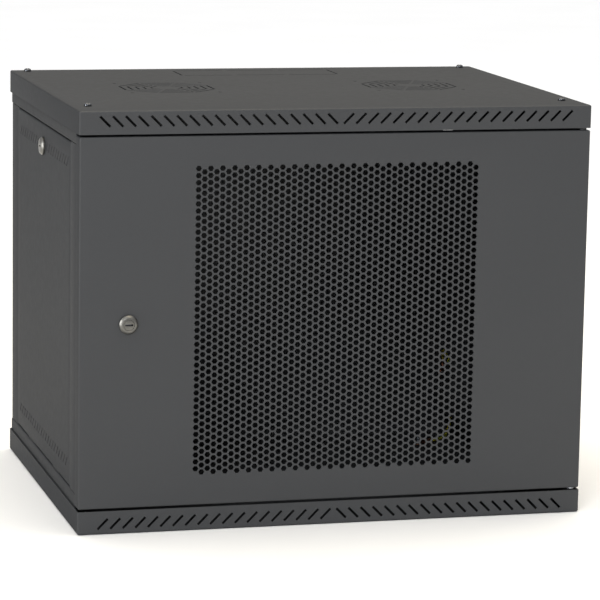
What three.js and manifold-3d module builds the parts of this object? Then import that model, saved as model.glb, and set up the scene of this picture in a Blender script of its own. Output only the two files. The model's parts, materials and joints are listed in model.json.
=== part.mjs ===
// A 9U wall-mounted network cabinet, in millimetres. +Z is up, the door faces -Y, and the origin is
// the middle of the base tray's underside.
import * as THREE from "three";
import { mergeVertices } from "three/addons/utils/BufferGeometryUtils.js";
import Module from "manifold-3d";

const wasm = await Module();
wasm.setup();

// Overall size
const WIDTH = 600;
const DEPTH = 456;
const HEIGHT = 481.5;
const SHEET = 1.2; // thickness of the folded sheet steel
const GAP = 0.3; // left between pieces that touch
const ROUND = 16; // sides of a turned piece
const SMALL_ROUND = 10; // sides of a small hole, stud or screw

// Trays: the top cover, and the base tray, which is the same tray turned over
const SKIRT = 26.6;
const TRAY_SLOT = { count: 19, pitch: 14.53, first: 9.35, level: 11.9 };
const VENT_SLOT = { length: 16.5, width: 2.8, slant: Math.PI / 4 };
const PANEL_SLOT = { ...VENT_SLOT, width: 1.8 };
const FAN = { x: 150, y: 5, rings: 5, first: 18.1, pitch: 8.8, slot: 2.5, spoke: 2.5, sides: 8 };
const FAN_HOLE = { spacing: 105, radius: 2.2, sides: 6 };
const KNOCKOUT = { halfWidth: 99.5, front: 143, rear: 200, slit: 2.2, bridge: 3 };
const TRAY_SCREW = { x: 281, front: -178, rear: 211, hole: 2.8 };
const TRAY_STUD = { radius: 3, top: 14 };

// Side frames: distances across are measured out from the cabinet's middle plane
const RAIL_FACE = 297.7;
const POST_FACE = 297;
const FRAME_FRONT = -199;
const FRAME_REAR = 227.4;
const RAIL_HEIGHT = 40.7; // of each ring strip, from the tray's outer face
const RAIL_REAR = FRAME_REAR - SHEET - GAP;
const RAIL_SEAT = 270; // inner edge of the flange on the tray
const RAIL_LIP = { across: 289, height: 53.5 }; // the side lock's cam turns up behind this lip
const RAIL_LEDGE = 280; // inner edge of the lower rail's ledge
const FRONT_POST = { rear: -162.5, inner: 262, tail: 270 };
const REAR_POST = { front: 184.3, inner: 246, tail: 270 };
const KEYHOLE = { across: 272.5, level: 398, radius: 7, slot: 4, rise: 15 };
const REAR_PANEL = { half: 263, bottom: 16, top: 465.5, face: 225.9,
  screwAcross: 254.5, screwLevels: [85, 420] };

// Rack rails and the depth bars that carry them
const UNITS = 9;
const UNIT = 44.45;
const UNIT_HOLES = [6.35, 22.225, 38.1];
const RACK_RAIL = { front: -160, inner: 225.4, outer: 247.5, depth: 32, thickness: 2, holeAcross: 232.55,
  hole: 9.5, bottom: 36, bolt: 57.5 };
const DEPTH_BAR = { inner: 247.8, tab: 285, thickness: 1.5, low: 45.5, high: 69.5, slotTravel: 160, slot: 7 };
const RAIL_BOLT = { head: 5, headHeight: 4, shank: 3, length: 16, nut: 5.8, nutHeight: 5 };

// Door
const DOOR = { half: 299.5, bottom: 29.2, top: 452.3, depth: 20 };
const HINGE = { x: 291.5, y: -220, pin: 2.5, hole: 2.85 };
const HINGE_LEAF = { inner: 284, outer: 296.2, front: -226, rear: -150,
  foldFront: -196, fold: 1.6, drop: 21 };
const UPPER_LEAF = { low: 453, high: 454.6 };
const LOWER_LEAF = { low: 24.3, high: 26.3 };
const BUSH = { radius: 4, low: 26.6, high: 28.9 };
const PIN_GUIDE = { low: 420, high: 421.5, inner: 283, front: -226.4, rear: -212, leafTop: 436 };
const TOP_PIN = { top: 457.5, collarLow: 448.6, collarHigh: 450.8, collar: 4.2,
  knobTop: 412, bottom: 404, knob: 4.5 };
const PIN_SPRING = { coil: 3.6, wire: 0.45, turns: 5, steps: 6, sides: 4 };

// Side panels
const PANEL = { bottom: 42, top: 439.3, front: -162, rear: 183.8, fold: 7, edgeFold: 10 };
const PANEL_VENT = { count: 22, pitch: 14.53, y: 10, levels: [66.9, 414.9], clear: 15 };
const PANEL_TAB = { ys: [-70, 90], half: 20, low: 30, high: 52, inner: 294.3, outer: 296 };
const TAB_SLOT = { inner: 290.5, outer: 296.4, half: 22 };

// Locks: heights are measured outwards from the face that the lock is fitted in
const LOCK = { head: 10.7, face: 8.3, rim: 2.4, proud: 4.8, barrel: 9, bore: 6.3, plug: 6, hole: 9.4 };
const LOCK_KEY = { length: 9, width: 2, depth: 3 };
const LOCK_TAIL = { size: 7, length: 3.6, clearance: 0.2 };
const LOCK_CAM = { thickness: 2, width: 14, root: 8.5 };
const LOCK_NUT = { radius: 12.7, bore: 9.7, height: 4 };
const DOOR_LOCK = { x: -243, z: 240.6, barrel: 30, cam: 42 };
const SIDE_LOCK = { y: 10, z: 413.7, barrel: 9, cam: 27 };

// Fasteners
const COVER_SCREW = { head: 4.4, dome: 3.6, shank: 2.5, length: 12,
  cross: 5.4, crossWidth: 1.2, crossDepth: 1.6 };
const PANEL_SCREW = { head: 4.2, dome: 2.6, shank: 2, length: 3.4 };
const BASE_NUT = { radius: 5.8, bore: 3.4, height: 5 };

// Earth bond between the right rear post and the base tray
const EARTH_BASE = { x: 218, y: 149.5, turn: 0.35 };
const EARTH_POST = { x: 272.5, z: 78 };
const EARTH_STUD = { radius: 2.5, length: 14 };
const EARTH_NUT = { radius: 4.6, bore: 2.9, height: 4 };
const LUG = { ring: 5.5, hole: 2.8, plate: 1, tongue: 10, barrelEnd: 19, barrel: 3, sides: 10 };
const WIRE = { radius: 2, sides: 6, steps: 40 };
const WIRE_ROUTE = [
  [272.5, 222.9, 97.3],
  [272.4, 222.4, 102],
  [271.2, 219.5, 107.5],
  [270, 213, 109.8],
  [270.4, 204.5, 107],
  [272.6, 196.5, 99.5],
  [274.8, 191.5, 88],
  [275.5, 190, 72],
  [275.6, 189.8, 54],
  [275.4, 189.7, 38],
  [273.8, 188.4, 24],
  [269.6, 183.4, 13],
  [260.5, 169.5, 6.3],
  [250, 161.6, 4.7],
  [239.89, 157.49, 4.5],
  [236.13, 156.12, 4.5],
];

// ---------------------------------------------------------------- materials

const steel = (color, roughness, metalness) =>
  new THREE.MeshStandardMaterial({ color, roughness, metalness });
const powderCoat = steel(0x515254, 0.55, 0.1);
const zinc = steel(0xaeb1b5, 0.35, 1);
const nickel = steel(0x8f8f8b, 0.3, 1);
const blackZinc = steel(0x4a4c50, 0.25, 1);
const copper = steel(0xb5714f, 0.4, 1);
const earthInsulation = steel(0x9fb32c, 0.5, 0);

// ---------------------------------------------------------------- solids

// A closed geometry as a solid. A profile may run either way round, so faces are turned to point out.
function solid(geometry) {
  const bare = geometry.index ? geometry.toNonIndexed() : geometry;
  bare.deleteAttribute("uv");
  bare.deleteAttribute("normal");
  const merged = mergeVertices(bare, 1e-4);
  const vertProperties = new Float32Array(merged.attributes.position.array);
  const triVerts = new Uint32Array(merged.index.array);
  const build = () => new wasm.Manifold(new wasm.Mesh({ numProp: 3, vertProperties, triVerts }));
  const made = build();
  if (made.volume() > 0) return made;
  for (let i = 0; i < triVerts.length; i += 3) triVerts.subarray(i, i + 3).reverse();
  return build();
}

// A solid as a named mesh.
function piece(name, material, made) {
  const { numProp, numVert, vertProperties, triVerts } = made.getMesh();
  const positions = new Float32Array(numVert * 3);
  for (let i = 0; i < numVert; i++) {
    positions.set(vertProperties.subarray(i * numProp, i * numProp + 3), i * 3);
  }
  const geometry = new THREE.BufferGeometry();
  geometry.setAttribute("position", new THREE.BufferAttribute(positions, 3));
  geometry.setIndex(new THREE.BufferAttribute(triVerts, 1));
  geometry.computeVertexNormals();
  const mesh = new THREE.Mesh(geometry, material);
  mesh.name = name;
  return mesh;
}

const joined = (first, ...rest) => rest.reduce((whole, next) => whole.add(next), first);
const cut = (first, ...rest) => rest.reduce((whole, next) => whole.subtract(next), first);

function block([x0, x1], [y0, y1], [z0, z1]) {
  const geometry = new THREE.BoxGeometry(Math.abs(x1 - x0), Math.abs(y1 - y0), Math.abs(z1 - z0));
  return solid(geometry.translate((x0 + x1) / 2, (y0 + y1) / 2, (z0 + z1) / 2));
}

const AXIS = {
  x: new THREE.Vector3(1, 0, 0),
  y: new THREE.Vector3(0, 1, 0),
  z: new THREE.Vector3(0, 0, 1),
};
const path2 = (points) => points.map(([u, v]) => new THREE.Vector2(u, v));

// An outline pushed along an axis. Its points are (y, z) along x, (x, z) along y and (x, y) along z.
function prism(axis, outline, from, to) {
  const shape = new THREE.Shape(path2(outline));
  const low = Math.min(from, to);
  const high = Math.max(from, to);
  const geometry = new THREE.ExtrudeGeometry(shape, { depth: high - low, bevelEnabled: false });
  const turn = new THREE.Matrix4();
  if (axis === "x") turn.makeBasis(AXIS.y, AXIS.z, AXIS.x);
  if (axis === "y") turn.makeBasis(AXIS.x, AXIS.z, AXIS.y.clone().negate());
  geometry.applyMatrix4(turn);
  const start = axis === "y" ? high : low;
  geometry.translate(...AXIS[axis].clone().multiplyScalar(start).toArray());
  return solid(geometry);
}

// A profile of [radius, height] turned round an axis through a place; height runs along the axis.
function turned(profile, direction, place, sides = ROUND) {
  const geometry = new THREE.LatheGeometry(path2(profile), sides);
  const side = Math.abs(direction.x) > 0.5 ? AXIS.y : AXIS.x;
  const turn = new THREE.Matrix4().makeBasis(side, direction, side.clone().cross(direction));
  return solid(geometry.applyMatrix4(turn).translate(...place));
}

// A flat sheet with holes through it.
function sheet(axis, outline, from, to, holes) {
  const cutters = holes.map((hole) => prism(axis, hole, Math.min(from, to) - 1, Math.max(from, to) + 1));
  return cut(prism(axis, outline, from, to), ...cutters);
}

const rod = (radius, low, high, direction, place, sides = ROUND) =>
  turned([[0, low], [radius, low], [radius, high], [0, high]], direction, place, sides);
const ring = (inner, outer, low, high, direction, place, sides = ROUND) =>
  turned([[inner, low], [outer, low], [outer, high], [inner, high], [inner, low]], direction, place, sides);

// ---------------------------------------------------------------- outlines

const rectangle = (u0, u1, v0, v1) => [[u0, v0], [u1, v0], [u1, v1], [u0, v1]];

function arc(u, v, radius, from, to, steps) {
  const points = [];
  for (let i = 0; i <= steps; i++) {
    const angle = from + ((to - from) * i) / steps;
    points.push([u + radius * Math.cos(angle), v + radius * Math.sin(angle)]);
  }
  return points;
}

const circle = (u, v, radius, sides) => arc(u, v, radius, 0, 2 * Math.PI, sides).slice(0, -1);

function slantedSlot(u, v, { length, width, slant }, lean) {
  const along = [Math.cos(slant) * lean, Math.sin(slant)];
  const across = [-along[1], along[0]];
  return [[-1, -1], [1, -1], [1, 1], [-1, 1]].map(([i, j]) => [
    u + (i * length * along[0]) / 2 + (j * width * across[0]) / 2,
    v + (i * length * along[1]) / 2 + (j * width * across[1]) / 2,
  ]);
}

// A slot with round ends, along the first coordinate.
const roundSlot = (u0, u1, v, width) => [
  ...arc(u1 - width / 2, v, width / 2, -Math.PI / 2, Math.PI / 2, 4),
  ...arc(u0 + width / 2, v, width / 2, Math.PI / 2, (3 * Math.PI) / 2, 4),
];

// The outline of a folded sheet, from its outer face. side is 1 where the metal lies to the left of
// the path, and -1 where it lies to the right.
function folded(path, thickness, side) {
  const normals = path.slice(1).map(([u, v], i) => {
    const [du, dv] = [u - path[i][0], v - path[i][1]];
    const length = Math.hypot(du, dv);
    return [(-dv / length) * side, (du / length) * side];
  });
  const inner = path.map(([u, v], i) => {
    const before = normals[Math.max(i - 1, 0)];
    const after = normals[Math.min(i, normals.length - 1)];
    const share = thickness / (1 + before[0] * after[0] + before[1] * after[1]);
    return [u + (before[0] + after[0]) * share, v + (before[1] + after[1]) * share];
  });
  return [...path, ...inner.reverse()];
}

// The same outline on the left (-1) or right (1) side of the cabinet.
const onSide = (side, outline) => outline.map(([across, other]) => [side * across, other]);
const level = (upper, height) => (upper ? HEIGHT - height : height);

// ---------------------------------------------------------------- trays

// The slots of one fan grille: rings of straight slots, one on each side of an octagon, with narrow
// spokes left between them.
function fanSlots(x, y) {
  const slots = [];
  const half = Math.PI / FAN.sides;
  for (let r = 0; r < FAN.rings; r++) {
    const edges = [-1, 1].map((edge) => FAN.first + r * FAN.pitch + (edge * FAN.slot) / 2);
    for (let s = 0; s < FAN.sides; s++) {
      const cos = Math.cos(2 * half * s);
      const sin = Math.sin(2 * half * s);
      const [near, far] = edges.map((out) =>
        [-1, 1].map((end) => {
          const along = end * (out * Math.tan(half) - FAN.spoke / 2 / Math.cos(half));
          return [x + out * cos - along * sin, y + out * sin + along * cos];
        }));
      slots.push([...near, ...far.reverse()]);
    }
  }
  return slots;
}

function fanHoles(x, y) {
  const half = FAN_HOLE.spacing / 2;
  const corners = [[-1, -1], [1, -1], [1, 1], [-1, 1]];
  return corners.map(([i, j]) => circle(x + i * half, y + j * half, FAN_HOLE.radius, FAN_HOLE.sides));
}

// Slits round the cable knock-out. The uncut corners and bridges hold its plate until it is snapped out.
function knockoutSlits() {
  const { halfWidth, front, rear, slit, bridge } = KNOCKOUT;
  const slits = [-1, 1].map((side) => rectangle(
    side * halfWidth - slit / 2, side * halfWidth + slit / 2, front + bridge, rear - bridge));
  const third = (2 * halfWidth) / 3;
  for (const y of [front, rear]) {
    for (let i = 0; i < 3; i++) {
      const start = -halfWidth + i * third;
      slits.push(rectangle(start + bridge, start + third - bridge, y - slit / 2, y + slit / 2));
    }
  }
  return slits;
}

const trayScrewPlaces = () =>
  [-1, 1].flatMap((side) => [TRAY_SCREW.front, TRAY_SCREW.rear].map((y) => [side * TRAY_SCREW.x, y]));

// The tray as it lies at the base: a floor with a skirt standing on each edge.
function tray() {
  const halfWidth = WIDTH / 2;
  const halfDepth = DEPTH / 2;
  const holes = knockoutSlits();
  for (const x of [-FAN.x, FAN.x]) holes.push(...fanSlots(x, FAN.y), ...fanHoles(x, FAN.y));
  for (const [x, y] of trayScrewPlaces()) holes.push(circle(x, y, TRAY_SCREW.hole, SMALL_ROUND));
  const floor = sheet("z", rectangle(-halfWidth, halfWidth, -halfDepth, halfDepth), 0, SHEET, holes);
  const vents = [-1, 1].flatMap((side) => Array.from({ length: TRAY_SLOT.count }, (_, i) =>
    slantedSlot(side * (TRAY_SLOT.first + i * TRAY_SLOT.pitch), TRAY_SLOT.level, VENT_SLOT, -side)));
  const front = sheet("y", rectangle(-halfWidth, halfWidth, 0, SKIRT), -halfDepth, -halfDepth + SHEET, vents);
  const rear = block([-halfWidth, halfWidth], [halfDepth - SHEET, halfDepth], [0, SKIRT]);
  const sides = [-1, 1].map((side) =>
    block([side * (halfWidth - SHEET), side * halfWidth], [-halfDepth, halfDepth], [0, SKIRT]));
  return joined(floor, front, rear, ...sides);
}

function topCover() {
  const cover = piece("top_cover", powderCoat, tray());
  cover.rotation.y = Math.PI;
  cover.position.z = HEIGHT;
  return cover;
}

// The base tray carries four clinched studs for the side frames, and one for the earth wire.
function baseTray() {
  const studs = trayScrewPlaces().map(([x, y]) =>
    rod(TRAY_STUD.radius, SHEET / 2, TRAY_STUD.top, AXIS.z, [x, y, 0], SMALL_ROUND));
  const rim = trayScrewPlaces().map(([x, y]) =>
    rod(TRAY_STUD.radius + 0.5, 0, SHEET, AXIS.z, [x, y, 0], SMALL_ROUND));
  const earth = rod(EARTH_STUD.radius, SHEET / 2, EARTH_STUD.length, AXIS.z,
    [EARTH_BASE.x, EARTH_BASE.y, 0], SMALL_ROUND);
  return piece("base_tray", powderCoat, joined(tray(), ...rim, ...studs, earth));
}

// ---------------------------------------------------------------- side frames

function screwHolesIn(side, upper) {
  const seat = SHEET + GAP;
  return [TRAY_SCREW.front, TRAY_SCREW.rear].map((y) =>
    rod(TRAY_STUD.radius + 0.4, level(upper, seat - 1), level(upper, seat + SHEET + 1), AXIS.z,
      [side * TRAY_SCREW.x, y, 0], SMALL_ROUND));
}

function topRail(side) {
  const seat = HEIGHT - SHEET - GAP;
  const foot = HEIGHT - RAIL_HEIGHT;
  const { across, height } = RAIL_LIP;
  const outline = folded([[RAIL_SEAT, seat], [RAIL_FACE, seat], [RAIL_FACE, foot],
    [across - SHEET, foot]], SHEET, -1);
  const body = prism("y", onSide(side, outline), FRAME_FRONT, RAIL_REAR);
  const lip = block([side * (across - SHEET), side * across],
    [PANEL.front + SHEET + GAP, PANEL.rear - SHEET - GAP], [HEIGHT - height, foot + SHEET]);
  return cut(body.add(lip), ...screwHolesIn(side, true));
}

function bottomRail(side) {
  const seat = SHEET + GAP;
  const outline = folded([[RAIL_SEAT, seat], [RAIL_FACE, seat], [RAIL_FACE, RAIL_HEIGHT],
    [RAIL_LEDGE, RAIL_HEIGHT]], SHEET, 1);
  const body = prism("y", onSide(side, outline), FRAME_FRONT, RAIL_REAR);
  const tabSlots = PANEL_TAB.ys.map((y) =>
    block([side * TAB_SLOT.inner, side * TAB_SLOT.outer], [y - TAB_SLOT.half, y + TAB_SLOT.half],
      [RAIL_HEIGHT - 2 * SHEET, RAIL_HEIGHT + SHEET]));
  return cut(body, ...screwHolesIn(side, false), ...tabSlots);
}

const POST_BOTTOM = RAIL_HEIGHT + GAP;
const POST_TOP = HEIGHT - RAIL_HEIGHT - GAP;

function frontPost(side) {
  const outline = folded([[FRONT_POST.inner, FRAME_FRONT], [POST_FACE, FRAME_FRONT],
    [POST_FACE, FRONT_POST.rear], [FRONT_POST.tail, FRONT_POST.rear]], SHEET, 1);
  return prism("z", onSide(side, outline), POST_BOTTOM, POST_TOP);
}

function keyhole(side) {
  const x = side * KEYHOLE.across;
  const z = KEYHOLE.level;
  const lean = Math.asin(KEYHOLE.slot / KEYHOLE.radius);
  const outline = [
    ...arc(x, z, KEYHOLE.radius, Math.PI / 2 + lean, 2.5 * Math.PI - lean, 10),
    ...arc(x, z + KEYHOLE.rise, KEYHOLE.slot, 0, Math.PI, 5),
  ];
  return prism("y", outline, FRAME_REAR - 2 * SHEET, FRAME_REAR + SHEET);
}

// The rear flange runs on past the post's ends, to close the gap between the rails and the trays.
function rearPost(side) {
  const outline = folded([[REAR_POST.inner, FRAME_REAR], [POST_FACE, FRAME_REAR],
    [POST_FACE, REAR_POST.front], [REAR_POST.tail, REAR_POST.front]], SHEET, -1);
  const web = prism("z", onSide(side, outline), POST_BOTTOM, POST_TOP);
  const flange = block([side * REAR_POST.inner, side * (POST_FACE - SHEET / 2)],
    [FRAME_REAR - SHEET, FRAME_REAR], [SKIRT + GAP, HEIGHT - SKIRT - GAP]);
  const body = joined(web, flange);
  const screws = REAR_PANEL.screwLevels.map((z) =>
    rod(PANEL_SCREW.shank + GAP, FRAME_REAR - 2 * SHEET, FRAME_REAR + SHEET, AXIS.y,
      [side * REAR_PANEL.screwAcross, 0, z], SMALL_ROUND));
  const post = cut(body, keyhole(side), ...screws);
  if (side < 0) return post;
  const studEnd = FRAME_REAR - EARTH_STUD.length - SHEET;
  return post.add(rod(EARTH_STUD.radius, studEnd, FRAME_REAR - SHEET / 2, AXIS.y,
    [EARTH_POST.x, 0, EARTH_POST.z], SMALL_ROUND));
}

function rearPanel() {
  const { half, bottom, top, face, screwAcross, screwLevels } = REAR_PANEL;
  const holes = [-1, 1].flatMap((side) =>
    screwLevels.map((z) => circle(side * screwAcross, z, PANEL_SCREW.shank + GAP, SMALL_ROUND)));
  return sheet("y", rectangle(-half, half, bottom, top), face - SHEET, face, holes);
}

// ---------------------------------------------------------------- depth bars and rack rails

const boltLevel = (upper) => level(upper, RACK_RAIL.bolt);
const boltY = RACK_RAIL.front + RACK_RAIL.depth / 2;

function depthBar(side, upper) {
  const front = FRONT_POST.rear + GAP;
  const rear = REAR_POST.front - GAP;
  const outline = folded([[DEPTH_BAR.tab, front], [DEPTH_BAR.inner, front], [DEPTH_BAR.inner, rear],
    [DEPTH_BAR.tab, rear]], DEPTH_BAR.thickness, -1);
  const body = prism("z", onSide(side, outline), level(upper, DEPTH_BAR.low), level(upper, DEPTH_BAR.high));
  const slot = roundSlot(boltY - DEPTH_BAR.slot / 2, boltY + DEPTH_BAR.slotTravel + DEPTH_BAR.slot / 2,
    boltLevel(upper), DEPTH_BAR.slot);
  return body.subtract(prism("x", slot, side * (DEPTH_BAR.inner - 1), side * (DEPTH_BAR.inner + 3)));
}

// Each unit of the rail has three square holes for cage nuts.
function rackRail(side) {
  const { front, inner, outer, depth, thickness, holeAcross, hole, bottom } = RACK_RAIL;
  const outline = folded([[inner, front], [outer, front], [outer, front + depth]], thickness, 1);
  let rail = prism("z", onSide(side, outline), bottom, HEIGHT - bottom);
  const first = (HEIGHT - UNITS * UNIT) / 2;
  for (let unit = 0; unit < UNITS; unit++) {
    for (const height of UNIT_HOLES) {
      const z = first + unit * UNIT + height;
      rail = rail.subtract(block([side * holeAcross - hole / 2, side * holeAcross + hole / 2],
        [front - 1, front + thickness + 1], [z - hole / 2, z + hole / 2]));
    }
  }
  for (const upper of [false, true]) {
    rail = rail.subtract(rod(RAIL_BOLT.shank + GAP, outer - 2 * thickness, outer + thickness,
      AXIS.x.clone().multiplyScalar(side), [0, boltY, boltLevel(upper)], SMALL_ROUND));
  }
  return rail;
}

function railBolt(side, upper) {
  const { head, headHeight, shank, length, nut, nutHeight } = RAIL_BOLT;
  const seat = RACK_RAIL.outer - RACK_RAIL.thickness - GAP;
  const outwards = AXIS.x.clone().multiplyScalar(side);
  const place = [0, boltY, boltLevel(upper)];
  const nutSeat = DEPTH_BAR.inner + DEPTH_BAR.thickness + GAP;
  const bolt = turned([[0, seat - headHeight], [head * 0.7, seat - headHeight], [head, seat - headHeight / 2],
    [head, seat], [shank, seat], [shank, seat + length], [0, seat + length]], outwards, place, SMALL_ROUND);
  return bolt.add(rod(nut, nutSeat, nutSeat + nutHeight, outwards, place, 6));
}

// ---------------------------------------------------------------- fasteners

// A domed screw, with a cross recess if its size names one. Its head stands outwards from the seat.
function domedScrew(size, direction, place) {
  const { head, dome, shank, length, cross, crossWidth, crossDepth } = size;
  const profile = [[0, -length], [shank, -length], [shank, 0], [head, 0], [head, dome * 0.35],
    [head * 0.72, dome * 0.85], [head * 0.3, dome], [0, dome]];
  const screw = turned(profile, direction, place, SMALL_ROUND);
  if (!cross) return screw;
  const centre = new THREE.Vector3(...place).addScaledVector(direction, dome);
  const spans = [cross, crossWidth, 2 * crossDepth];
  const turn = new THREE.Matrix4();
  turn.makeBasis(Math.abs(direction.x) > 0.5 ? AXIS.y : AXIS.x,
    Math.abs(direction.z) > 0.5 ? AXIS.y : AXIS.z, direction);
  const arm = (a, b) => solid(new THREE.BoxGeometry(spans[a], spans[b], spans[2])
    .applyMatrix4(turn).translate(...centre.toArray()));
  return cut(screw, arm(0, 1), arm(1, 0));
}

const hexNut = ({ radius, bore, height }, low, direction, place) =>
  rod(radius, low, low + height, direction, place, 6)
    .subtract(rod(bore, low - 1, low + height + 1, direction, place, SMALL_ROUND));

// ---------------------------------------------------------------- hinge

function hingeBracket({ low, high }, foldLow, foldHigh) {
  const { inner, outer, front, rear, foldFront, fold } = HINGE_LEAF;
  const leaf = prism("z", [[inner + 4, front + 3], [inner + 7, front], [outer - 3, front], [outer, front + 3],
    [outer, rear], [inner, rear], [inner, front + 12]], low, high);
  const upright = block([outer - fold, outer], [foldFront, rear], [foldLow, foldHigh]);
  const hole = rod(HINGE.hole, low - 1, high + 1, AXIS.z, [HINGE.x, HINGE.y, 0]);
  return leaf.add(upright).subtract(hole);
}

const upperBracket = () =>
  hingeBracket(UPPER_LEAF, UPPER_LEAF.low, UPPER_LEAF.low + HINGE_LEAF.drop);
const lowerBracket = () =>
  hingeBracket(LOWER_LEAF, LOWER_LEAF.high - HINGE_LEAF.drop, LOWER_LEAF.high);

// The lower pin stands in its bracket and bush, with a head under the bracket.
function lowerPin() {
  const { pin, x, y } = HINGE;
  const under = LOWER_LEAF.low - GAP;
  const top = DOOR.bottom + 8.5;
  return turned([[0, under - 2], [pin * 1.6, under - 2], [pin * 1.6, under], [pin, under],
    [pin, top - 1.5], [pin * 0.6, top], [0, top]], AXIS.z, [x, y, 0], SMALL_ROUND);
}

const hingeBush = () =>
  ring(HINGE.hole, BUSH.radius, BUSH.low, BUSH.high, AXIS.z, [HINGE.x, HINGE.y, 0]);

// ---------------------------------------------------------------- door

// The door's perforated field is left plain here: it has too many holes for this model.
function doorPanel() {
  const { half, bottom, top, depth } = DOOR;
  const front = -DEPTH / 2;
  const rear = front + depth;
  const face = sheet("y", rectangle(-half, half, bottom, top), front, front + SHEET,
    [circle(DOOR_LOCK.x, DOOR_LOCK.z, LOCK.hole, ROUND)]);
  const sides = [-1, 1].map((side) =>
    block([side * (half - SHEET), side * half], [front, rear], [bottom, top]));
  const ends = [[bottom, bottom + SHEET], [top - SHEET, top]].map((z) =>
    block([-half, half], [front, rear], z));
  const pinHoles = [bottom, top].map((z) =>
    rod(HINGE.hole, z - 2 * SHEET, z + 2 * SHEET, AXIS.z, [HINGE.x, HINGE.y, 0]));
  return cut(joined(face, ...sides, ...ends), ...pinHoles);
}

function pinGuide() {
  const { low, high, inner, front, rear, leafTop } = PIN_GUIDE;
  const outer = DOOR.half - SHEET - GAP;
  const shelf = block([inner, outer], [front, rear], [low, high]);
  const leaf = block([outer - 1.5, outer], [front, rear], [low, leafTop]);
  return cut(shelf.add(leaf), rod(HINGE.hole, low - 1, high + 1, AXIS.z, [HINGE.x, HINGE.y, 0]));
}

function upperPin() {
  const { pin, x, y } = HINGE;
  const { top, collarLow, collarHigh, collar, knobTop, bottom, knob } = TOP_PIN;
  return turned([[0, bottom], [knob * 0.8, bottom], [knob, bottom + 1.5], [knob, knobTop], [pin, knobTop],
    [pin, collarLow], [collar, collarLow], [collar, collarHigh], [pin, collarHigh], [pin, top - 1.5],
    [pin * 0.6, top], [0, top]], AXIS.z, [x, y, 0], SMALL_ROUND);
}

class Helix extends THREE.Curve {
  constructor(radius, low, high, turns) {
    super();
    Object.assign(this, { radius, low, high, turns });
  }

  getPoint(t, target = new THREE.Vector3()) {
    const angle = t * this.turns * 2 * Math.PI;
    const rise = this.low + t * (this.high - this.low);
    return target.set(HINGE.x + this.radius * Math.cos(angle), HINGE.y + this.radius * Math.sin(angle), rise);
  }
}

const swept = (curve, radius, sides, steps) => solid(new THREE.ExtrudeGeometry(
  new THREE.Shape(path2(circle(0, 0, radius, sides))),
  { extrudePath: curve, steps, bevelEnabled: false }));

function pinSpring() {
  const { coil, wire, turns, steps, sides } = PIN_SPRING;
  const helix = new Helix(coil, PIN_GUIDE.high + GAP + wire, TOP_PIN.collarLow - GAP - wire, turns);
  return swept(helix, wire, sides, turns * steps);
}

// ---------------------------------------------------------------- locks

const camLevel = (barrel) => -barrel - 2 * GAP;

function lockHousing(barrel) {
  const { head, face, rim, proud, bore } = LOCK;
  return turned([[bore, -barrel], [LOCK.barrel, -barrel], [LOCK.barrel, GAP], [head, GAP], [head, rim],
    [face, proud], [bore, proud], [bore, -barrel]], AXIS.z, [0, 0, 0]);
}

function lockPlug(barrel, turn) {
  const top = LOCK.proud - 0.4;
  const tail = -barrel - GAP;
  const half = LOCK_TAIL.size / 2;
  const body = rod(LOCK.plug, tail, top, AXIS.z, [0, 0, 0]);
  const end = block([-half, half], [-half, half], [tail - LOCK_TAIL.length, tail + 1]);
  const key = new THREE.BoxGeometry(LOCK_KEY.length, LOCK_KEY.width, 2 * LOCK_KEY.depth);
  return cut(body.add(end), solid(key.rotateZ(turn).translate(0, 0, top)));
}

// The cam is drawn along +X and turned to its place.
function lockCam(barrel, length, turn) {
  const { thickness, width, root } = LOCK_CAM;
  const top = camLevel(barrel);
  const tip = length - width / 2;
  const outline = [
    ...arc(0, 0, root, Math.PI / 3, (5 * Math.PI) / 3, 8),
    ...arc(tip, 0, width / 2, -Math.PI / 2, Math.PI / 2, 6),
  ];
  const half = LOCK_TAIL.size / 2 + LOCK_TAIL.clearance;
  const cos = Math.cos(turn);
  const sin = Math.sin(turn);
  const turnedBy = ([u, v]) => [u * cos - v * sin, u * sin + v * cos];
  return sheet("z", outline.map(turnedBy), top - thickness, top, [rectangle(-half, half, -half, half)]);
}

// Four pieces in the lock's own frame, where +Z points out of the face it is fitted in.
function lock(name, { barrel, cam }, slotTurn, camTurn) {
  const group = new THREE.Group();
  group.add(
    piece(`${name}_housing`, nickel, lockHousing(barrel)),
    piece(`${name}_plug`, nickel, lockPlug(barrel, slotTurn)),
    piece(`${name}_cam`, zinc, lockCam(barrel, cam, camTurn)),
    piece(`${name}_nut`, zinc, hexNut(LOCK_NUT, -SHEET - GAP - LOCK_NUT.height, AXIS.z, [0, 0, 0])),
  );
  return group;
}

function doorLock() {
  const group = lock("door_lock", DOOR_LOCK, 0, -Math.PI / 2);
  group.rotation.x = Math.PI / 2;
  group.position.set(DOOR_LOCK.x, -DEPTH / 2, DOOR_LOCK.z);
  return group;
}

function sideLock(side, name) {
  const group = lock(`${name}_lock`, SIDE_LOCK, Math.PI / 2, Math.PI / 2);
  group.rotation.y = (side * Math.PI) / 2;
  group.position.set(side * POST_FACE, SIDE_LOCK.y, SIDE_LOCK.z);
  return group;
}

// ---------------------------------------------------------------- side panels

function panelVents(lean) {
  const { count, pitch, y, levels, clear } = PANEL_VENT;
  const slots = [];
  for (const z of levels) {
    for (let i = 0; i < count; i++) {
      const place = y + (i - (count - 1) / 2) * pitch;
      const blocked = z === levels[1] && Math.abs(place - SIDE_LOCK.y) < clear;
      if (!blocked) slots.push(slantedSlot(place, z, PANEL_SLOT, lean));
    }
  }
  return slots;
}

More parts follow.
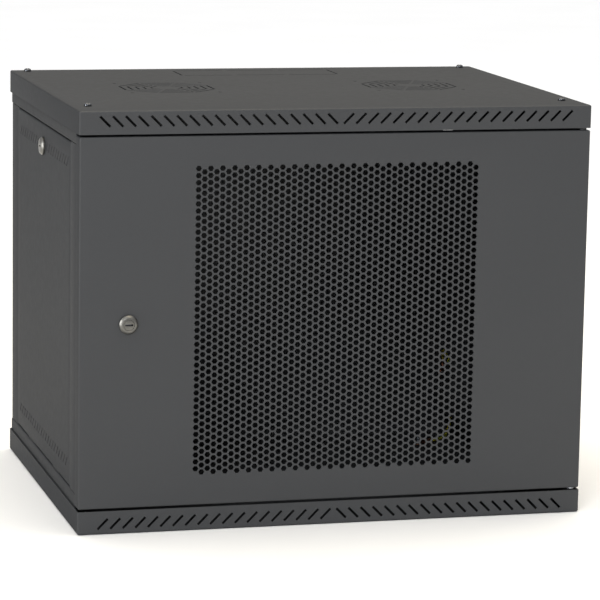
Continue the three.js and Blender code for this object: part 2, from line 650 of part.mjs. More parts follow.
// The panel hangs between the posts: two tabs stand in the lower rail, and the lock holds its top.
function sidePanel(side) {
  const { bottom, top, front, rear, fold, edgeFold } = PANEL;
  const across = (inner, outer) => [side * inner, side * outer];
  const holes = [...panelVents(-1), circle(SIDE_LOCK.y, SIDE_LOCK.z, LOCK.hole, ROUND)];
  const inside = side * (POST_FACE - SHEET);
  const face = sheet("x", rectangle(front, rear, bottom, top), inside, side * POST_FACE, holes);
  const topFold = block(across(POST_FACE - fold, POST_FACE), [front, rear], [top - SHEET, top]);
  const edges = [[front, front + SHEET], [rear - SHEET, rear]].map((y) =>
    block(across(POST_FACE - edgeFold, POST_FACE), y, [PANEL_TAB.high, top - 2 * SHEET]));
  const tabs = PANEL_TAB.ys.map((y) =>
    block(across(PANEL_TAB.inner, PANEL_TAB.outer), [y - PANEL_TAB.half, y + PANEL_TAB.half],
      [PANEL_TAB.low, PANEL_TAB.high]));
  return joined(face, topFold, ...edges, ...tabs);
}

// ---------------------------------------------------------------- earth bond

// A ring lug along +X, with its plate on the plane z = 0.
function lug() {
  const { ring: radius, hole, plate, tongue, barrelEnd, barrel, sides } = LUG;
  const outline = [
    ...arc(0, 0, radius, Math.PI / 4, (7 * Math.PI) / 4, 8),
    [tongue, -barrel],
    [tongue, barrel],
  ];
  const flat = sheet("z", outline, 0, plate, [circle(0, 0, hole, SMALL_ROUND)]);
  return flat.add(rod(barrel, tongue - 1.5, barrelEnd, AXIS.x, [0, 0, barrel], sides));
}

function earthBond() {
  const group = new THREE.Group();
  const baseLug = piece("base_earth_lug", copper, lug());
  baseLug.position.set(EARTH_BASE.x, EARTH_BASE.y, SHEET + GAP);
  baseLug.rotation.z = EARTH_BASE.turn;
  // On the post the lug stands upright with its plate against the flange.
  const postLug = piece("post_earth_lug", copper, lug());
  const flange = FRAME_REAR - SHEET - GAP;
  postLug.position.set(EARTH_POST.x, flange, EARTH_POST.z);
  postLug.setRotationFromMatrix(new THREE.Matrix4().makeBasis(AXIS.z, AXIS.x.clone().negate(),
    AXIS.y.clone().negate()));
  const route = new THREE.CatmullRomCurve3(WIRE_ROUTE.map((point) => new THREE.Vector3(...point)));
  group.add(
    baseLug,
    postLug,
    piece("base_earth_nut", zinc, hexNut(EARTH_NUT, SHEET + 2 * GAP + LUG.plate, AXIS.z,
      [EARTH_BASE.x, EARTH_BASE.y, 0])),
    piece("post_earth_nut", zinc, hexNut(EARTH_NUT, flange - LUG.plate - GAP - EARTH_NUT.height, AXIS.y,
      [EARTH_POST.x, 0, EARTH_POST.z])),
    piece("earth_wire", earthInsulation, swept(route, WIRE.radius, WIRE.sides, WIRE.steps)),
  );
  return group;
}

// ---------------------------------------------------------------- assembly

const cabinet = new THREE.Group();
const SIDES = [[-1, "left"], [1, "right"]];
const LEVELS = [[false, "lower"], [true, "upper"]];

cabinet.add(topCover(), baseTray(), piece("rear_panel", powderCoat, rearPanel()));
for (const [side, name] of SIDES) {
  cabinet.add(
    piece(`${name}_top_rail`, powderCoat, topRail(side)),
    piece(`${name}_bottom_rail`, powderCoat, bottomRail(side)),
    piece(`${name}_front_post`, powderCoat, frontPost(side)),
    piece(`${name}_rear_post`, powderCoat, rearPost(side)),
    piece(`${name}_rack_rail`, powderCoat, rackRail(side)),
    piece(`${name}_side_panel`, powderCoat, sidePanel(side)),
    sideLock(side, name),
  );
  for (const [upper, height] of LEVELS) {
    cabinet.add(
      piece(`${name}_${height}_depth_bar`, powderCoat, depthBar(side, upper)),
      piece(`${name}_${height}_rail_bolt`, zinc, railBolt(side, upper)),
    );
  }
  REAR_PANEL.screwLevels.forEach((z, i) => {
    const place = [side * REAR_PANEL.screwAcross, REAR_PANEL.face - SHEET - GAP, z];
    cabinet.add(piece(`${name}_${LEVELS[i][1]}_rear_panel_screw`, zinc,
      domedScrew(PANEL_SCREW, AXIS.y.clone().negate(), place)));
  });
  for (const [y, end] of [[TRAY_SCREW.front, "front"], [TRAY_SCREW.rear, "rear"]]) {
    const x = side * TRAY_SCREW.x;
    cabinet.add(
      piece(`${name}_${end}_cover_screw`, blackZinc, domedScrew(COVER_SCREW, AXIS.z, [x, y, HEIGHT + GAP])),
      piece(`${name}_${end}_base_nut`, zinc, hexNut(BASE_NUT, 2 * SHEET + 2 * GAP, AXIS.z, [x, y, 0])),
    );
  }
}
cabinet.add(
  piece("upper_hinge_bracket", powderCoat, upperBracket()),
  piece("lower_hinge_bracket", powderCoat, lowerBracket()),
  piece("lower_hinge_pin", zinc, lowerPin()),
  piece("hinge_bush", zinc, hingeBush()),
  piece("door_panel", powderCoat, doorPanel()),
  piece("pin_guide", powderCoat, pinGuide()),
  piece("upper_hinge_pin", zinc, upperPin()),
  piece("hinge_pin_spring", zinc, pinSpring()),
  doorLock(),
  earthBond(),
);

export default cabinet;
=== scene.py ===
import json
import math

import bmesh
import bpy
from mathutils import Matrix, Vector
from mathutils.geometry import delaunay_2d_cdt

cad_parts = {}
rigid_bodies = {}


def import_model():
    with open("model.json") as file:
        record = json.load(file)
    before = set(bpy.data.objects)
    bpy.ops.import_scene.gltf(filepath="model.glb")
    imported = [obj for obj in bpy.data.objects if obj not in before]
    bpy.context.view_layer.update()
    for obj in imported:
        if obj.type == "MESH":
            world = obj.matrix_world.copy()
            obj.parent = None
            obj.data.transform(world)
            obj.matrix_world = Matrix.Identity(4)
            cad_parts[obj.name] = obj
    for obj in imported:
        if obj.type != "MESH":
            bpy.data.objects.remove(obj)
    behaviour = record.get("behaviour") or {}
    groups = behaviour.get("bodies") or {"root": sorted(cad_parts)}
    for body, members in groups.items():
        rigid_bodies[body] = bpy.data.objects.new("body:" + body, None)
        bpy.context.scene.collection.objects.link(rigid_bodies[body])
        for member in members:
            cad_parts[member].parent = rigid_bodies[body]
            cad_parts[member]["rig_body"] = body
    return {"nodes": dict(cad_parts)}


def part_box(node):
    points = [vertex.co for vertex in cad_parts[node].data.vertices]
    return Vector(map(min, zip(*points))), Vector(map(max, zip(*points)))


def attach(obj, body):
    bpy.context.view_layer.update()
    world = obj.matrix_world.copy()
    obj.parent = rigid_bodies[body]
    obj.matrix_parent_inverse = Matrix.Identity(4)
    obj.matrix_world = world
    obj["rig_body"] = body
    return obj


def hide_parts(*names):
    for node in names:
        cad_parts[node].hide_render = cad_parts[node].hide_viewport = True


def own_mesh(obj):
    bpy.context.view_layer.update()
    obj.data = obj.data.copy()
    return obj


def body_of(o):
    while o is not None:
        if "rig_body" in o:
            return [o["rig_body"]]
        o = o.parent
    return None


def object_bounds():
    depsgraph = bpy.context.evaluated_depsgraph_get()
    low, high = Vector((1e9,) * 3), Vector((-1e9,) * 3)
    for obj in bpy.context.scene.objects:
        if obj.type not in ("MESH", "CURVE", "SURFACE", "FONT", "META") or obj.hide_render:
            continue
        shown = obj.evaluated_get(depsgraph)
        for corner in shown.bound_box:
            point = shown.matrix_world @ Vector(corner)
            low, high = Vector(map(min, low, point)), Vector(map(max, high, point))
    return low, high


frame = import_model()
CAD_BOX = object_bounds()

# A 9U wall-mounted network cabinet. Shapes are drawn in millimetres and meshed in metres.
MM = 0.001
MERGE = 2e-6  # metres within which points are joined
SHARP_ANGLE, BEVEL_ANGLE = math.radians(38), math.radians(40)

# Camera: its place in metres, its angles in degrees, its lens and sensor in millimetres
CAMERA_PLACE = (-0.94276, -3.56259, 0.86602)
CAMERA_AZIMUTH, CAMERA_ELEVATION, CAMERA_ROLL = 15.0788, 9.9044, 1.0111
CAMERA_LENS, CAMERA_SENSOR = 185.12, 36.0

# Sheet metal
SHEET = 1.2
GAP = 0.3  # between pieces that touch
BEND = 2.0  # outer radius of a fold
BEND_STEPS = 4

# Trays: vents in the front skirt, two grilles with screw holes, a cable knock-out and four studs
SLOT_COUNT, SLOT_PITCH, SLOT_FIRST, SLOT_LEVEL = 19, 14.53, 9.35, 11.9
SLOT_LENGTH, SLOT_WIDTH, PANEL_SLOT_WIDTH, SLOT_SLANT = 16.5, 2.8, 1.8, math.pi / 4
FAN_X, FAN_Y, FAN_RINGS, FAN_FIRST, FAN_PITCH = 150, 5, 5, 18.1, 8.8
FAN_SLOT, FAN_SPOKE, FAN_SIDES = 2.5, 2.5, 8
FAN_HOLE_SPACING, FAN_HOLE_RADIUS = 105, 2.2
KNOCKOUT_HALF, KNOCKOUT_FRONT, KNOCKOUT_REAR = 99.5, 143, 200
KNOCKOUT_SLIT, KNOCKOUT_BRIDGE, KNOCKOUT_PARTS = 2.2, 3, 3
STUD_X, STUD_FRONT, STUD_REAR, STUD_RADIUS, STUD_TOP = 281, -178, 211, 3, 14
STUD_HOLE, STUD_CLEAR = 2.8, 0.4  # the cover's screw holes, and the room round a stud in the rails

# Side frames
RAIL_LIP_ACROSS, RAIL_LIP_HEIGHT = 289, 53.5
RAIL_HEIGHT, RAIL_LEDGE = 40.7, 280  # from the tray's outer face; inner edge of the lower rail's ledge
TAB_CENTRES, TAB_HALF = (-70, 90), 20
TAB_SLOT_INNER, TAB_SLOT_OUTER, TAB_SLOT_HALF = 290.5, 296.4, 22
TAB_INNER, TAB_OUTER, TAB_LOW, TAB_HIGH = 294.3, 296, 30, 52
KEYHOLE_ACROSS, KEYHOLE_LEVEL, KEYHOLE_RADIUS, KEYHOLE_SLOT, KEYHOLE_RISE = 272.5, 398, 7, 4, 15
REAR_SCREW_ACROSS, REAR_SCREW_LEVELS, REAR_SCREW_HOLE = 254.5, (85, 420), 2.3
POST_TAIL = 270  # where each post's inward fold ends

# Screws: point is the length of the tip without a thread, and sink how far the shank runs into the head
COVER_SCREW = {"head": 4.4, "shank": 2.5, "neck": 2.2, "point": 0.6, "sink": 0.4, "cross": 5.4, "depth": 1.6}
REAR_SCREW = {"head": 4.2, "shank": 2.0, "neck": 1.8, "point": 0.1, "sink": 0.3, "cross": 4.4, "depth": 1.3}
BASE_NUT, BASE_NUT_BORE = 5.8, 3.4

# Studs and bolts: the tip as a share of the radius, and the plain stretch before the thread
THREAD_TIP, THREAD_START = 0.7, 0.2

# Recesses: where their sloping walls end and begin, as shares of their size
CROSS_ARM, CROSS_REACH, HEX_WALL = (0.10, 0.16), (0.40, 0.55), (0.46, 0.52)

# Rack rails and depth bars
UNITS, UNIT, UNIT_HOLES = 9, 44.45, (6.35, 22.225, 38.1)
RACK_HOLE, RACK_HOLE_ACROSS, RACK_DEPTH, RACK_SHEET = 9.5, 232.55, 32, 2
BOLT_LEVEL, BAR_SHEET, BAR_SLOT, BAR_TRAVEL = 57.5, 1.5, 7, 160
BOLT_HEAD, BOLT_HEAD_HEIGHT, BOLT_SHANK, BOLT_LENGTH, BOLT_NUT, BOLT_NUT_HEIGHT = 5, 4, 3, 16, 5.8, 5
BOLT_HEX, BOLT_HEX_DEPTH, BOLT_PLAIN = 5, 2, 5  # recess across flats and depth; shank without a thread
BOLT_POINT, BOLT_SINK = 0.8, 0.4  # as a screw's point and sink

# Door
MESH_COLUMNS, MESH_ROWS, MESH_PITCH, MESH_HOLE = 48, 44, 8.0, 6.0
MESH_FIRST_X, MESH_TOP_Z = -164.0, 415.57
MESH_STEP = MESH_PITCH * math.sqrt(3) / 2

# Hinge: two pins, the lower one's bush, and the upper one's ridged grip, collar and spring
HINGE_X, HINGE_Y, HINGE_HOLE, HINGE_PIN = 291.5, -220, 2.85, 2.5
PIN_HEAD, PIN_HEAD_TOP, BUSH_RADIUS = 4, 2, 4
PIN_TIP = ((1, 1.5), (0.85, 0.5), (0.6, 0))  # shares of the pin's radius, and distances from its end
GRIP_RADIUS, GRIP_NECK, GRIP_TOP, GRIP_RIDGES, RIDGE_FIRST, RIDGE_PITCH = 4.5, 4.2, 8, 2, 0.8, 2
RIDGE = ((GRIP_RADIUS, 0), (GRIP_RADIUS, 0.8), (GRIP_NECK, 1.2), (GRIP_NECK, 1.6))  # radii and heights
COLLAR_RADIUS, COLLAR_LOW, COLLAR_HIGH = 4.2, 44.6, 46.8
SPRING_RADIUS, SPRING_WIRE, SPRING_ROUNDS, SPRING_STEPS = 3.6, 0.45, 5, 36

# Locks: heights are measured outwards from the face that the lock is fitted in
LOCK_HEAD, LOCK_FACE, LOCK_RIM, LOCK_PROUD, LOCK_BARREL, LOCK_BORE = 10.7, 8.3, 2.4, 4.8, 9, 6.3
LOCK_PLUG, LOCK_HOLE, LOCK_TAIL, LOCK_TAIL_LENGTH = 6, 9.4, 7, 3.6
PLUG_SUNK = 0.1  # how far the plug's face lies below the head's
KEY_LENGTH, KEY_WIDTH, KEY_DEPTH = 9, 2, 3
CAM_THICKNESS, CAM_WIDTH, CAM_ROOT = 2, 14, 8.5
LOCK_NUT_RADIUS, LOCK_NUT_BORE, LOCK_NUT_HEIGHT = 12.7, 9.7, 4
DOOR_LOCK = {"x": -243, "z": 240.6, "barrel": 30, "cam": 42}
SIDE_LOCK = {"y": 10, "z": 413.7, "barrel": 9, "cam": 27}

# Side panels
VENT_COUNT, VENT_PITCH, VENT_Y, VENT_LEVELS, VENT_CLEAR = 22, 14.53, 10, (66.9, 414.9), 15
PANEL_BOTTOM, PANEL_FOLD = 42, 8

# Earth wire, the same route as in the CAD model
WIRE_RADIUS, WIRE_SIDES, WIRE_STEPS = 2.0, 20, 18
STRIPE_TURN = 55  # length of wire in which its stripe goes round once
WIRE_ROUTE = [
    (272.5, 222.9, 97.3), (272.4, 222.4, 102), (271.2, 219.5, 107.5), (270, 213, 109.8), (270.4, 204.5, 107),
    (272.6, 196.5, 99.5), (274.8, 191.5, 88), (275.5, 190, 72), (275.6, 189.8, 54), (275.4, 189.7, 38),
    (273.8, 188.4, 24), (269.6, 183.4, 13), (260.5, 169.5, 6.3), (250, 161.6, 4.7), (239.89, 157.49, 4.5),
    (236.13, 156.12, 4.5),
]
EARTH_BASE, EARTH_TURN, EARTH_POST = (218, 149.5), 0.35, (272.5, 78)
LUG_RING, LUG_HOLE, LUG_PLATE, LUG_TONGUE, LUG_END, LUG_BARREL = 5.5, 2.8, 1, 10, 19, 3
LUG_BORE, LUG_OVERLAP, LUG_CHAMFER, LUG_CRIMP, LUG_STEPS = 2.1, 1.5, 0.6, 0.45, 12
EARTH_STUD, EARTH_STUD_LENGTH, POST_STUD_TIP, EARTH_NUT, EARTH_NUT_BORE = 2.5, 14, 0.8, 4.6, 2.9

# Studio, in metres: each light's place, size, power and colour, and the sky's brightness
LIGHT_TARGET = (0, 0, 0.25)
LIGHTS = {
    "key": ((-1.5, -3.0, 2.4), (0.9, 0.9), 38, (0.93, 0.97, 1.0)),
    "top": ((0.2, 0.3, 2.6), (2.4, 2.4), 40, (1.0, 0.85, 0.58)),
    "edge": ((-3.0, -0.7, 0.8), (0.5, 2.0), 65, (1, 1, 1)),
}
HORIZON, ZENITH = 0.2, 1.5
FLOOR_SIZE, FLOOR_DROP = 30, 0.0005

SIDES = ((-1, "left"), (1, "right"))
ENDS = ((STUD_FRONT, "front"), (STUD_REAR, "rear"))
CORNERS = [(side * STUD_X, y, f"{name}_{end}") for side, name in SIDES for y, end in ENDS]


def box_mm(node):
    """A CAD node's lowest and highest corner at rest, in millimetres."""
    low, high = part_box(node)
    return [x / MM for x in low], [x / MM for x in high]


def span_mm(node):
    """How far from the middle a node on the left or right begins and ends."""
    low, high = box_mm(node)
    return sorted((abs(low[0]), abs(high[0])))


HEIGHT = box_mm("top_cover")[1][2]
FRONT = box_mm("base_tray")[0][1]
BOLT_Y = box_mm("left_rack_rail")[0][1] + RACK_DEPTH / 2
BOLT_LEVELS = {"lower": BOLT_LEVEL, "upper": HEIGHT - BOLT_LEVEL}


# ---------- camera


def make_camera():
    azimuth, elevation, roll = map(math.radians, (CAMERA_AZIMUTH, CAMERA_ELEVATION, CAMERA_ROLL))
    flat = Vector((math.sin(azimuth), math.cos(azimuth), 0)) * math.cos(elevation)
    ahead = flat - Vector((0, 0, math.sin(elevation)))
    right = ahead.cross(Vector((0, 0, 1))).normalized()
    up = right.cross(ahead)
    rolled_right = right * math.cos(roll) + up * math.sin(roll)
    rolled_up = up * math.cos(roll) - right * math.sin(roll)
    data = bpy.data.cameras.new("camera")
    data.lens = CAMERA_LENS
    data.sensor_width = CAMERA_SENSOR
    data.clip_start, data.clip_end = 0.1, 100
    camera = bpy.data.objects.new("camera", data)
    camera.matrix_world = Matrix.Translation(CAMERA_PLACE) @ Matrix(
        (rolled_right, rolled_up, -ahead)).transposed().to_4x4()
    bpy.context.scene.collection.objects.link(camera)
    bpy.context.scene.camera = camera


# ---------- outlines


def rectangle(u0, u1, v0, v1):
    return [(u0, v0), (u1, v0), (u1, v1), (u0, v1)]


def square(half):
    return rectangle(-half, half, -half, half)


def angles_round(sides):
    return [2 * math.pi * i / sides for i in range(sides)]


def arc(u, v, radius, start, end, steps):
    angles = [start + (end - start) * i / steps for i in range(steps + 1)]
    return [(u + radius * math.cos(a), v + radius * math.sin(a)) for a in angles]


def circle(u, v, radius, sides=32):
    return arc(u, v, radius, 0, 2 * math.pi, sides)[:-1]


def hexagon(u, v, across_flats):
    """A hexagon with its points to the left and right."""
    return circle(u, v, across_flats / math.sqrt(3), 6)


def turned_outline(outline, angle):
    turn = Matrix.Rotation(angle, 2)
    return [tuple(turn @ Vector(point)) for point in outline]


def slanted_slot(u, v, lean, width):
    along = Vector((math.cos(SLOT_SLANT) * lean, math.sin(SLOT_SLANT)))
    across = Vector((-along.y, along.x))
    half, wide = along * SLOT_LENGTH / 2, across * width / 2
    centre = Vector((u, v))
    return [tuple(centre + i * half + j * wide) for i, j in square(1)]


def round_slot(u0, u1, v, width):
    r = width / 2
    return arc(u1 - r, v, r, -math.pi / 2, math.pi / 2, 8) + arc(u0 + r, v, r, math.pi / 2, 1.5 * math.pi, 8)


def anticlockwise(loop):
    area = sum(a[0] * b[1] - b[0] * a[1] for a, b in zip(loop, loop[1:] + loop[:1]))
    return list(loop) if area > 0 else list(reversed(loop))


# ---------- skins


class Skin:
    """Faces gathered in millimetres through a placing function, and joined where they meet."""

    def __init__(self, place=lambda u, v, w: (u, v, w)):
        self.place = place
        self.points = []
        self.faces = []

    def add(self, points, faces, smooth=False):
        start = len(self.points)
        self.points += [self.place(*p) for p in points]
        self.faces += [([start + i for i in face], smooth) for face in faces]

    def fill(self, outline, holes, lift):
        """A flat outline with holes. lift turns its two coordinates into three."""
        loops = [anticlockwise(loop) for loop in (outline, *holes)]
        points, faces = [], []
        for loop in loops:
            faces.append(list(range(len(points), len(points) + len(loop))))
            points += [Vector(p) for p in loop]
        made = delaunay_2d_cdt(points, [], faces, 1, 1e-5)
        kept = [list(face) for face, origin in zip(made[2], made[5]) if list(origin) == [0]]
        self.add([lift(*p) for p in made[0]], kept)

    def strip(self, first, second, closed=False, smooth=True):
        """Quads between two rows of points."""
        n = len(first)
        last = n if closed else n - 1
        faces = [[i, (i + 1) % n, n + (i + 1) % n, n + i] for i in range(last)]
        self.add([*first, *second], faces, smooth)

    def plate(self, outline, holes, low, high):
        """A closed flat plate from w = low to high."""
        for w in (low, high):
            self.fill(outline, holes, lambda u, v, w=w: (u, v, w))
        for loop in (outline, *holes):
            self.strip([(u, v, low) for u, v in loop], [(u, v, high) for u, v in loop], True, False)

    def turned(self, profile, sides=32, centre=(0, 0)):
        """A profile of (radius, w) turned round w."""
        rows = [[(centre[0] + r * math.cos(a), centre[1] + r * math.sin(a), w) for a in angles_round(sides)]
                for r, w in profile]
        for first, second in zip(rows, rows[1:]):
            self.strip(first, second, True)


def upright(side):
    """A skin for one side of the cabinet, drawn in plan and standing along Z."""
    return Skin(lambda across, along, up: (side * across, along, up))


def lengthways(side):
    """A skin for one side of the cabinet, drawn from the front and running along Y."""
    return Skin(lambda across, up, along: (side * across, along, up))


def sideways(side, base, way, y=0, z=0):
    """A skin drawn from one side. From the base, w runs outwards where way is 1, else inwards."""
    return Skin(lambda u, v, w: (side * (base + way * w), y + u, z + v))


def frontal(base, way, x=0, z=0):
    """A skin drawn from the front. From the base, w runs to the rear where way is 1, else to the front."""
    return Skin(lambda u, v, w: (x + u, base + way * w, z + v))


def standing(x, y, z=0):
    """A skin drawn in plan round a point."""
    return Skin(lambda u, v, w: (x + u, y + v, z + w))


def apply_modifiers(obj):
    made = bpy.data.meshes.new_from_object(obj.evaluated_get(bpy.context.evaluated_depsgraph_get()))
    old = obj.data
    made.name = obj.name
    obj.modifiers.clear()
    obj.data = made
    bpy.data.meshes.remove(old)


def faces_inwards(work):
    """True if a folded sheet's faces point towards the middle of its box."""
    lows = [min(v.co[i] for v in work.verts) for i in range(3)]
    highs = [max(v.co[i] for v in work.verts) for i in range(3)]
    middle = (Vector(lows) + Vector(highs)) / 2
    return sum(f.normal.dot(f.calc_center_median() - middle) * f.calc_area() for f in work.faces) < 0


def piece(name, skin, material, nodes, thickness=0, bevel=0):
    """A skin as an object that stands for CAD nodes. A folded sheet is thickened inwards."""
    work = bmesh.new()
    verts = [work.verts.new(Vector(p) * MM) for p in skin.points]
    for face, smooth in skin.faces:
        work.faces.new([verts[i] for i in face]).smooth = smooth
    bmesh.ops.remove_doubles(work, verts=work.verts, dist=MERGE)
    bmesh.ops.dissolve_degenerate(work, edges=work.edges, dist=MERGE)
    bmesh.ops.recalc_face_normals(work, faces=work.faces)
    if thickness and faces_inwards(work):
        bmesh.ops.reverse_faces(work, faces=work.faces)
    mesh = bpy.data.meshes.new(name)
    work.to_mesh(mesh)
    work.free()
    obj = bpy.data.objects.new(name, mesh)
    bpy.context.scene.collection.objects.link(obj)
    if thickness:
        solid = obj.modifiers.new("thickness", "SOLIDIFY")
        solid.thickness = thickness * MM
        solid.offset = -1
        solid.use_even_offset = True
    if bevel:
        edge = obj.modifiers.new("edges", "BEVEL")
        edge.width = bevel * MM
        edge.segments = 2
        edge.limit_method = "ANGLE"
        edge.angle_limit = BEVEL_ANGLE
    apply_modifiers(obj)
    obj.data.set_sharp_from_angle(angle=SHARP_ANGLE)
    obj.data.materials.clear()
    obj.data.materials.append(material)
    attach(obj, body_of(frame["nodes"][nodes[0]])[0])
    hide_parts(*nodes)
    return obj


def tray_skin(skin, u, v, depth, face_holes=(), skirt_holes=()):
    """A folded tray's outer faces: its face at w = 0, and a skirt down to w = depth on each side.

    skirt_holes are cut in the skirt on the low v side, as loops of (u, w).
    """
    (u0, u1), (v0, v1) = (u[0] + BEND, u[1] - BEND), (v[0] + BEND, v[1] - BEND)
    skin.fill(rectangle(u0, u1, v0, v1), face_holes, lambda a, b: (a, b, 0))
    corners = ((u0, v0, math.pi), (u1, v0, 1.5 * math.pi), (u1, v1, 0), (u0, v1, math.pi / 2))
    rows = []
    for k in range(BEND_STEPS + 1):
        tilt = k / BEND_STEPS * math.pi / 2
        reach, drop = BEND * math.sin(tilt), BEND * (1 - math.cos(tilt))
        rows.append([(a, b, drop) for cu, cv, start in corners
                     for a, b in arc(cu, cv, reach, start, start + math.pi / 2, BEND_STEPS)])
    for upper, lower in zip(rows, rows[1:]):
        skin.strip(upper, lower, True)
    last, n = rows[-1], BEND_STEPS + 1
    for corner in range(4):
        bend = last[corner * n:(corner + 1) * n]
        skin.strip(bend, [(a, b, depth) for a, b, _ in bend])
        ends = [bend[-1], last[(corner + 1) * n % len(last)]]
        if corner:
            skin.strip(ends, [(a, b, depth) for a, b, _ in ends], smooth=False)
    skin.fill(rectangle(u0, u1, BEND, depth), skirt_holes, lambda a, w: (a, v[0], w))


def profile_skin(skin, path, low, high, cuts=None):
    """A folded strip's outer face: a path of (a, b), rounded at its corners, from w = low to high.

    cuts holds loops of (distance along a run from its corner, w), by the run's number.
    """
    corners = [Vector(p) for p in path]
    starts, ends = [corners[0]], []
    for before, corner, after in zip(corners, corners[1:], corners[2:]):
        ahead, next_ahead = (corner - before).normalized(), (after - corner).normalized()
        turn = math.atan2(ahead.x * next_ahead.y - ahead.y * next_ahead.x, ahead.dot(next_ahead))
        first = corner - ahead * BEND * math.tan(abs(turn) / 2)
        inwards = Vector((-ahead.y, ahead.x)) * math.copysign(1, turn)
        centre = first + inwards * BEND
        bend = [centre + Matrix.Rotation(turn * k / BEND_STEPS, 2) @ (first - centre)
                for k in range(BEND_STEPS + 1)]
        skin.strip([(*p, low) for p in bend], [(*p, high) for p in bend])
        ends.append(first)
        starts.append(bend[-1])
    ends.append(corners[-1])
    for i, (start, end) in enumerate(zip(starts, ends)):
        corner, ahead = corners[i], (corners[i + 1] - corners[i]).normalized()
        outline = rectangle((start - corner).length, (end - corner).length, low, high)
        skin.fill(outline, (cuts or {}).get(i, ()),
                  lambda s, w, c=corner, d=ahead: (c.x + d.x * s, c.y + d.y * s, w))


# ---------- materials


class Shader:
    """A material's nodes. Every texture is read in the piece's own coordinates, in metres."""

    def __init__(self, name, slot, **values):
        self.material = bpy.data.materials.new(name)
        self.material.use_nodes = True
        self.material["slot"] = slot
        self.tree = self.material.node_tree
        self.bsdf = self.tree.nodes["Principled BSDF"]
        for socket, value in values.items():
            self.bsdf.inputs[socket.replace("_", " ")].default_value = value
        self.place = self.tree.nodes.new("ShaderNodeTexCoord").outputs["Object"]
        self.normal = None

    def node(self, kind, links=None, **values):
        made = self.tree.nodes.new(kind)
        for socket, value in values.items():
            made.inputs[socket.replace("_", " ")].default_value = value
        for socket, source in (links or {}).items():
            self.tree.links.new(source, made.inputs[socket])
        return made

    def noise(self, scale, detail=2.0, place=None):
        made = self.node("ShaderNodeTexNoise", {"Vector": place or self.place}, Scale=scale, Detail=detail)
        return made.outputs["Fac"]

    def stretched(self, scale):
        return self.node("ShaderNodeMapping", {"Vector": self.place}, Scale=scale).outputs["Vector"]

    def spread(self, source, low, high, from_low=0.3, from_high=0.7):
        """A value that runs from low to high with its source."""
        ends = {"From_Min": from_low, "From_Max": from_high, "To_Min": low, "To_Max": high}
        return self.node("ShaderNodeMapRange", {"Value": source}, **ends).outputs["Result"]

    def ramp(self, source, *stops):
        made = self.node("ShaderNodeValToRGB", {"Fac": source})
        elements = made.color_ramp.elements
        for i, (at, color) in enumerate(stops):
            element = elements[i] if i < 2 else elements.new(at)
            element.position = at
            element.color = (*color, 1)
        return made.outputs["Color"]

    def mix(self, factor, first, second, blend="MIX"):
        made = self.tree.nodes.new("ShaderNodeMix")
        made.data_type = "RGBA"
        made.blend_type = blend
        for socket, source in ((made.inputs[0], factor), (made.inputs[6], first), (made.inputs[7], second)):
            if isinstance(source, bpy.types.NodeSocket):
                self.tree.links.new(source, socket)
            else:
                socket.default_value = source if socket.type == "VALUE" else (*source, 1)
        return made.outputs[2]

    def bump(self, source, strength, distance):
        links = {"Height": source}
        if self.normal:
            links["Normal"] = self.normal
        made = self.node("ShaderNodeBump", links, Strength=strength, Distance=distance)
        self.normal = made.outputs["Normal"]
        self.set("Normal", self.normal)

    def set(self, socket, source):
        self.tree.links.new(source, self.bsdf.inputs[socket])


def powder_coat(name, tone=(0.0474, 0.0492, 0.0526)):
    """Satin powder coat: fine orange peel, a little variation in tone and gloss, dull when seen edge on."""
    shader = Shader(name, "powder_coat", Metallic=0.0)
    darker = tuple(x * 0.98 for x in tone)
    lighter = tuple(x * 1.02 for x in tone)
    cloudy = shader.ramp(shader.noise(6, 3), (0.3, darker), (0.7, lighter))
    speckle = shader.ramp(shader.noise(1400, 2), (0.35, (0.96, 0.96, 0.96)), (0.65, (1.04, 1.04, 1.04)))
    shader.set("Base Color", shader.mix(1.0, cloudy, speckle, "MULTIPLY"))
    shader.set("Roughness", shader.spread(shader.noise(140, 3), 0.52, 0.58))
    facing = shader.node("ShaderNodeLayerWeight", Blend=0.5).outputs["Facing"]
    shader.set("Specular IOR Level", shader.spread(facing, 0.3, 0.02, 0.2, 0.7))
    shader.bump(shader.noise(900, 2), 0.08, 0.00004)
    return shader.material


def plated(slot, dark, light, roughness, directions=(30, 30, 30)):
    """A plated metal with fine marks drawn out along the directions with the small scale."""
    shader = Shader(f"{slot}_plate", slot, Metallic=1.0)
    shader.set("Base Color", shader.ramp(shader.noise(90, 3), (0.3, dark), (0.7, light)))
    marks = shader.noise(60, 3, shader.stretched(directions))
    shader.set("Roughness", shader.spread(marks, *roughness))
    shader.bump(marks, 0.15, 0.00003)
    return shader.material


def insulation(name):
    """Green sheath with a yellow stripe that winds slowly round it."""
    shader = Shader(name, "earth_insulation", Metallic=0.0)
    layout = shader.tree.nodes.new("ShaderNodeUVMap")
    parts = shader.node("ShaderNodeSeparateXYZ", {"Vector": layout.outputs["UV"]})
    turn = shader.node("ShaderNodeMath", {0: parts.outputs["X"], 1: parts.outputs["Y"]})
    turn.operation = "ADD"
    share = shader.node("ShaderNodeMath", {0: turn.outputs[0]})
    share.operation = "FRACT"
    stripe = shader.spread(share.outputs[0], 0, 1, 0.40, 0.44)
    green = shader.ramp(shader.noise(260, 2), (0.3, (0.012, 0.115, 0.022)), (0.7, (0.018, 0.150, 0.030)))
    yellow = shader.ramp(shader.noise(260, 2), (0.3, (0.62, 0.47, 0.02)), (0.7, (0.72, 0.56, 0.03)))
    shader.set("Base Color", shader.mix(stripe, green, yellow))
    shader.set("Roughness", shader.spread(shader.noise(700, 2), 0.38, 0.5))
    shader.bump(shader.noise(900, 2), 0.12, 0.00005)
    return shader.material


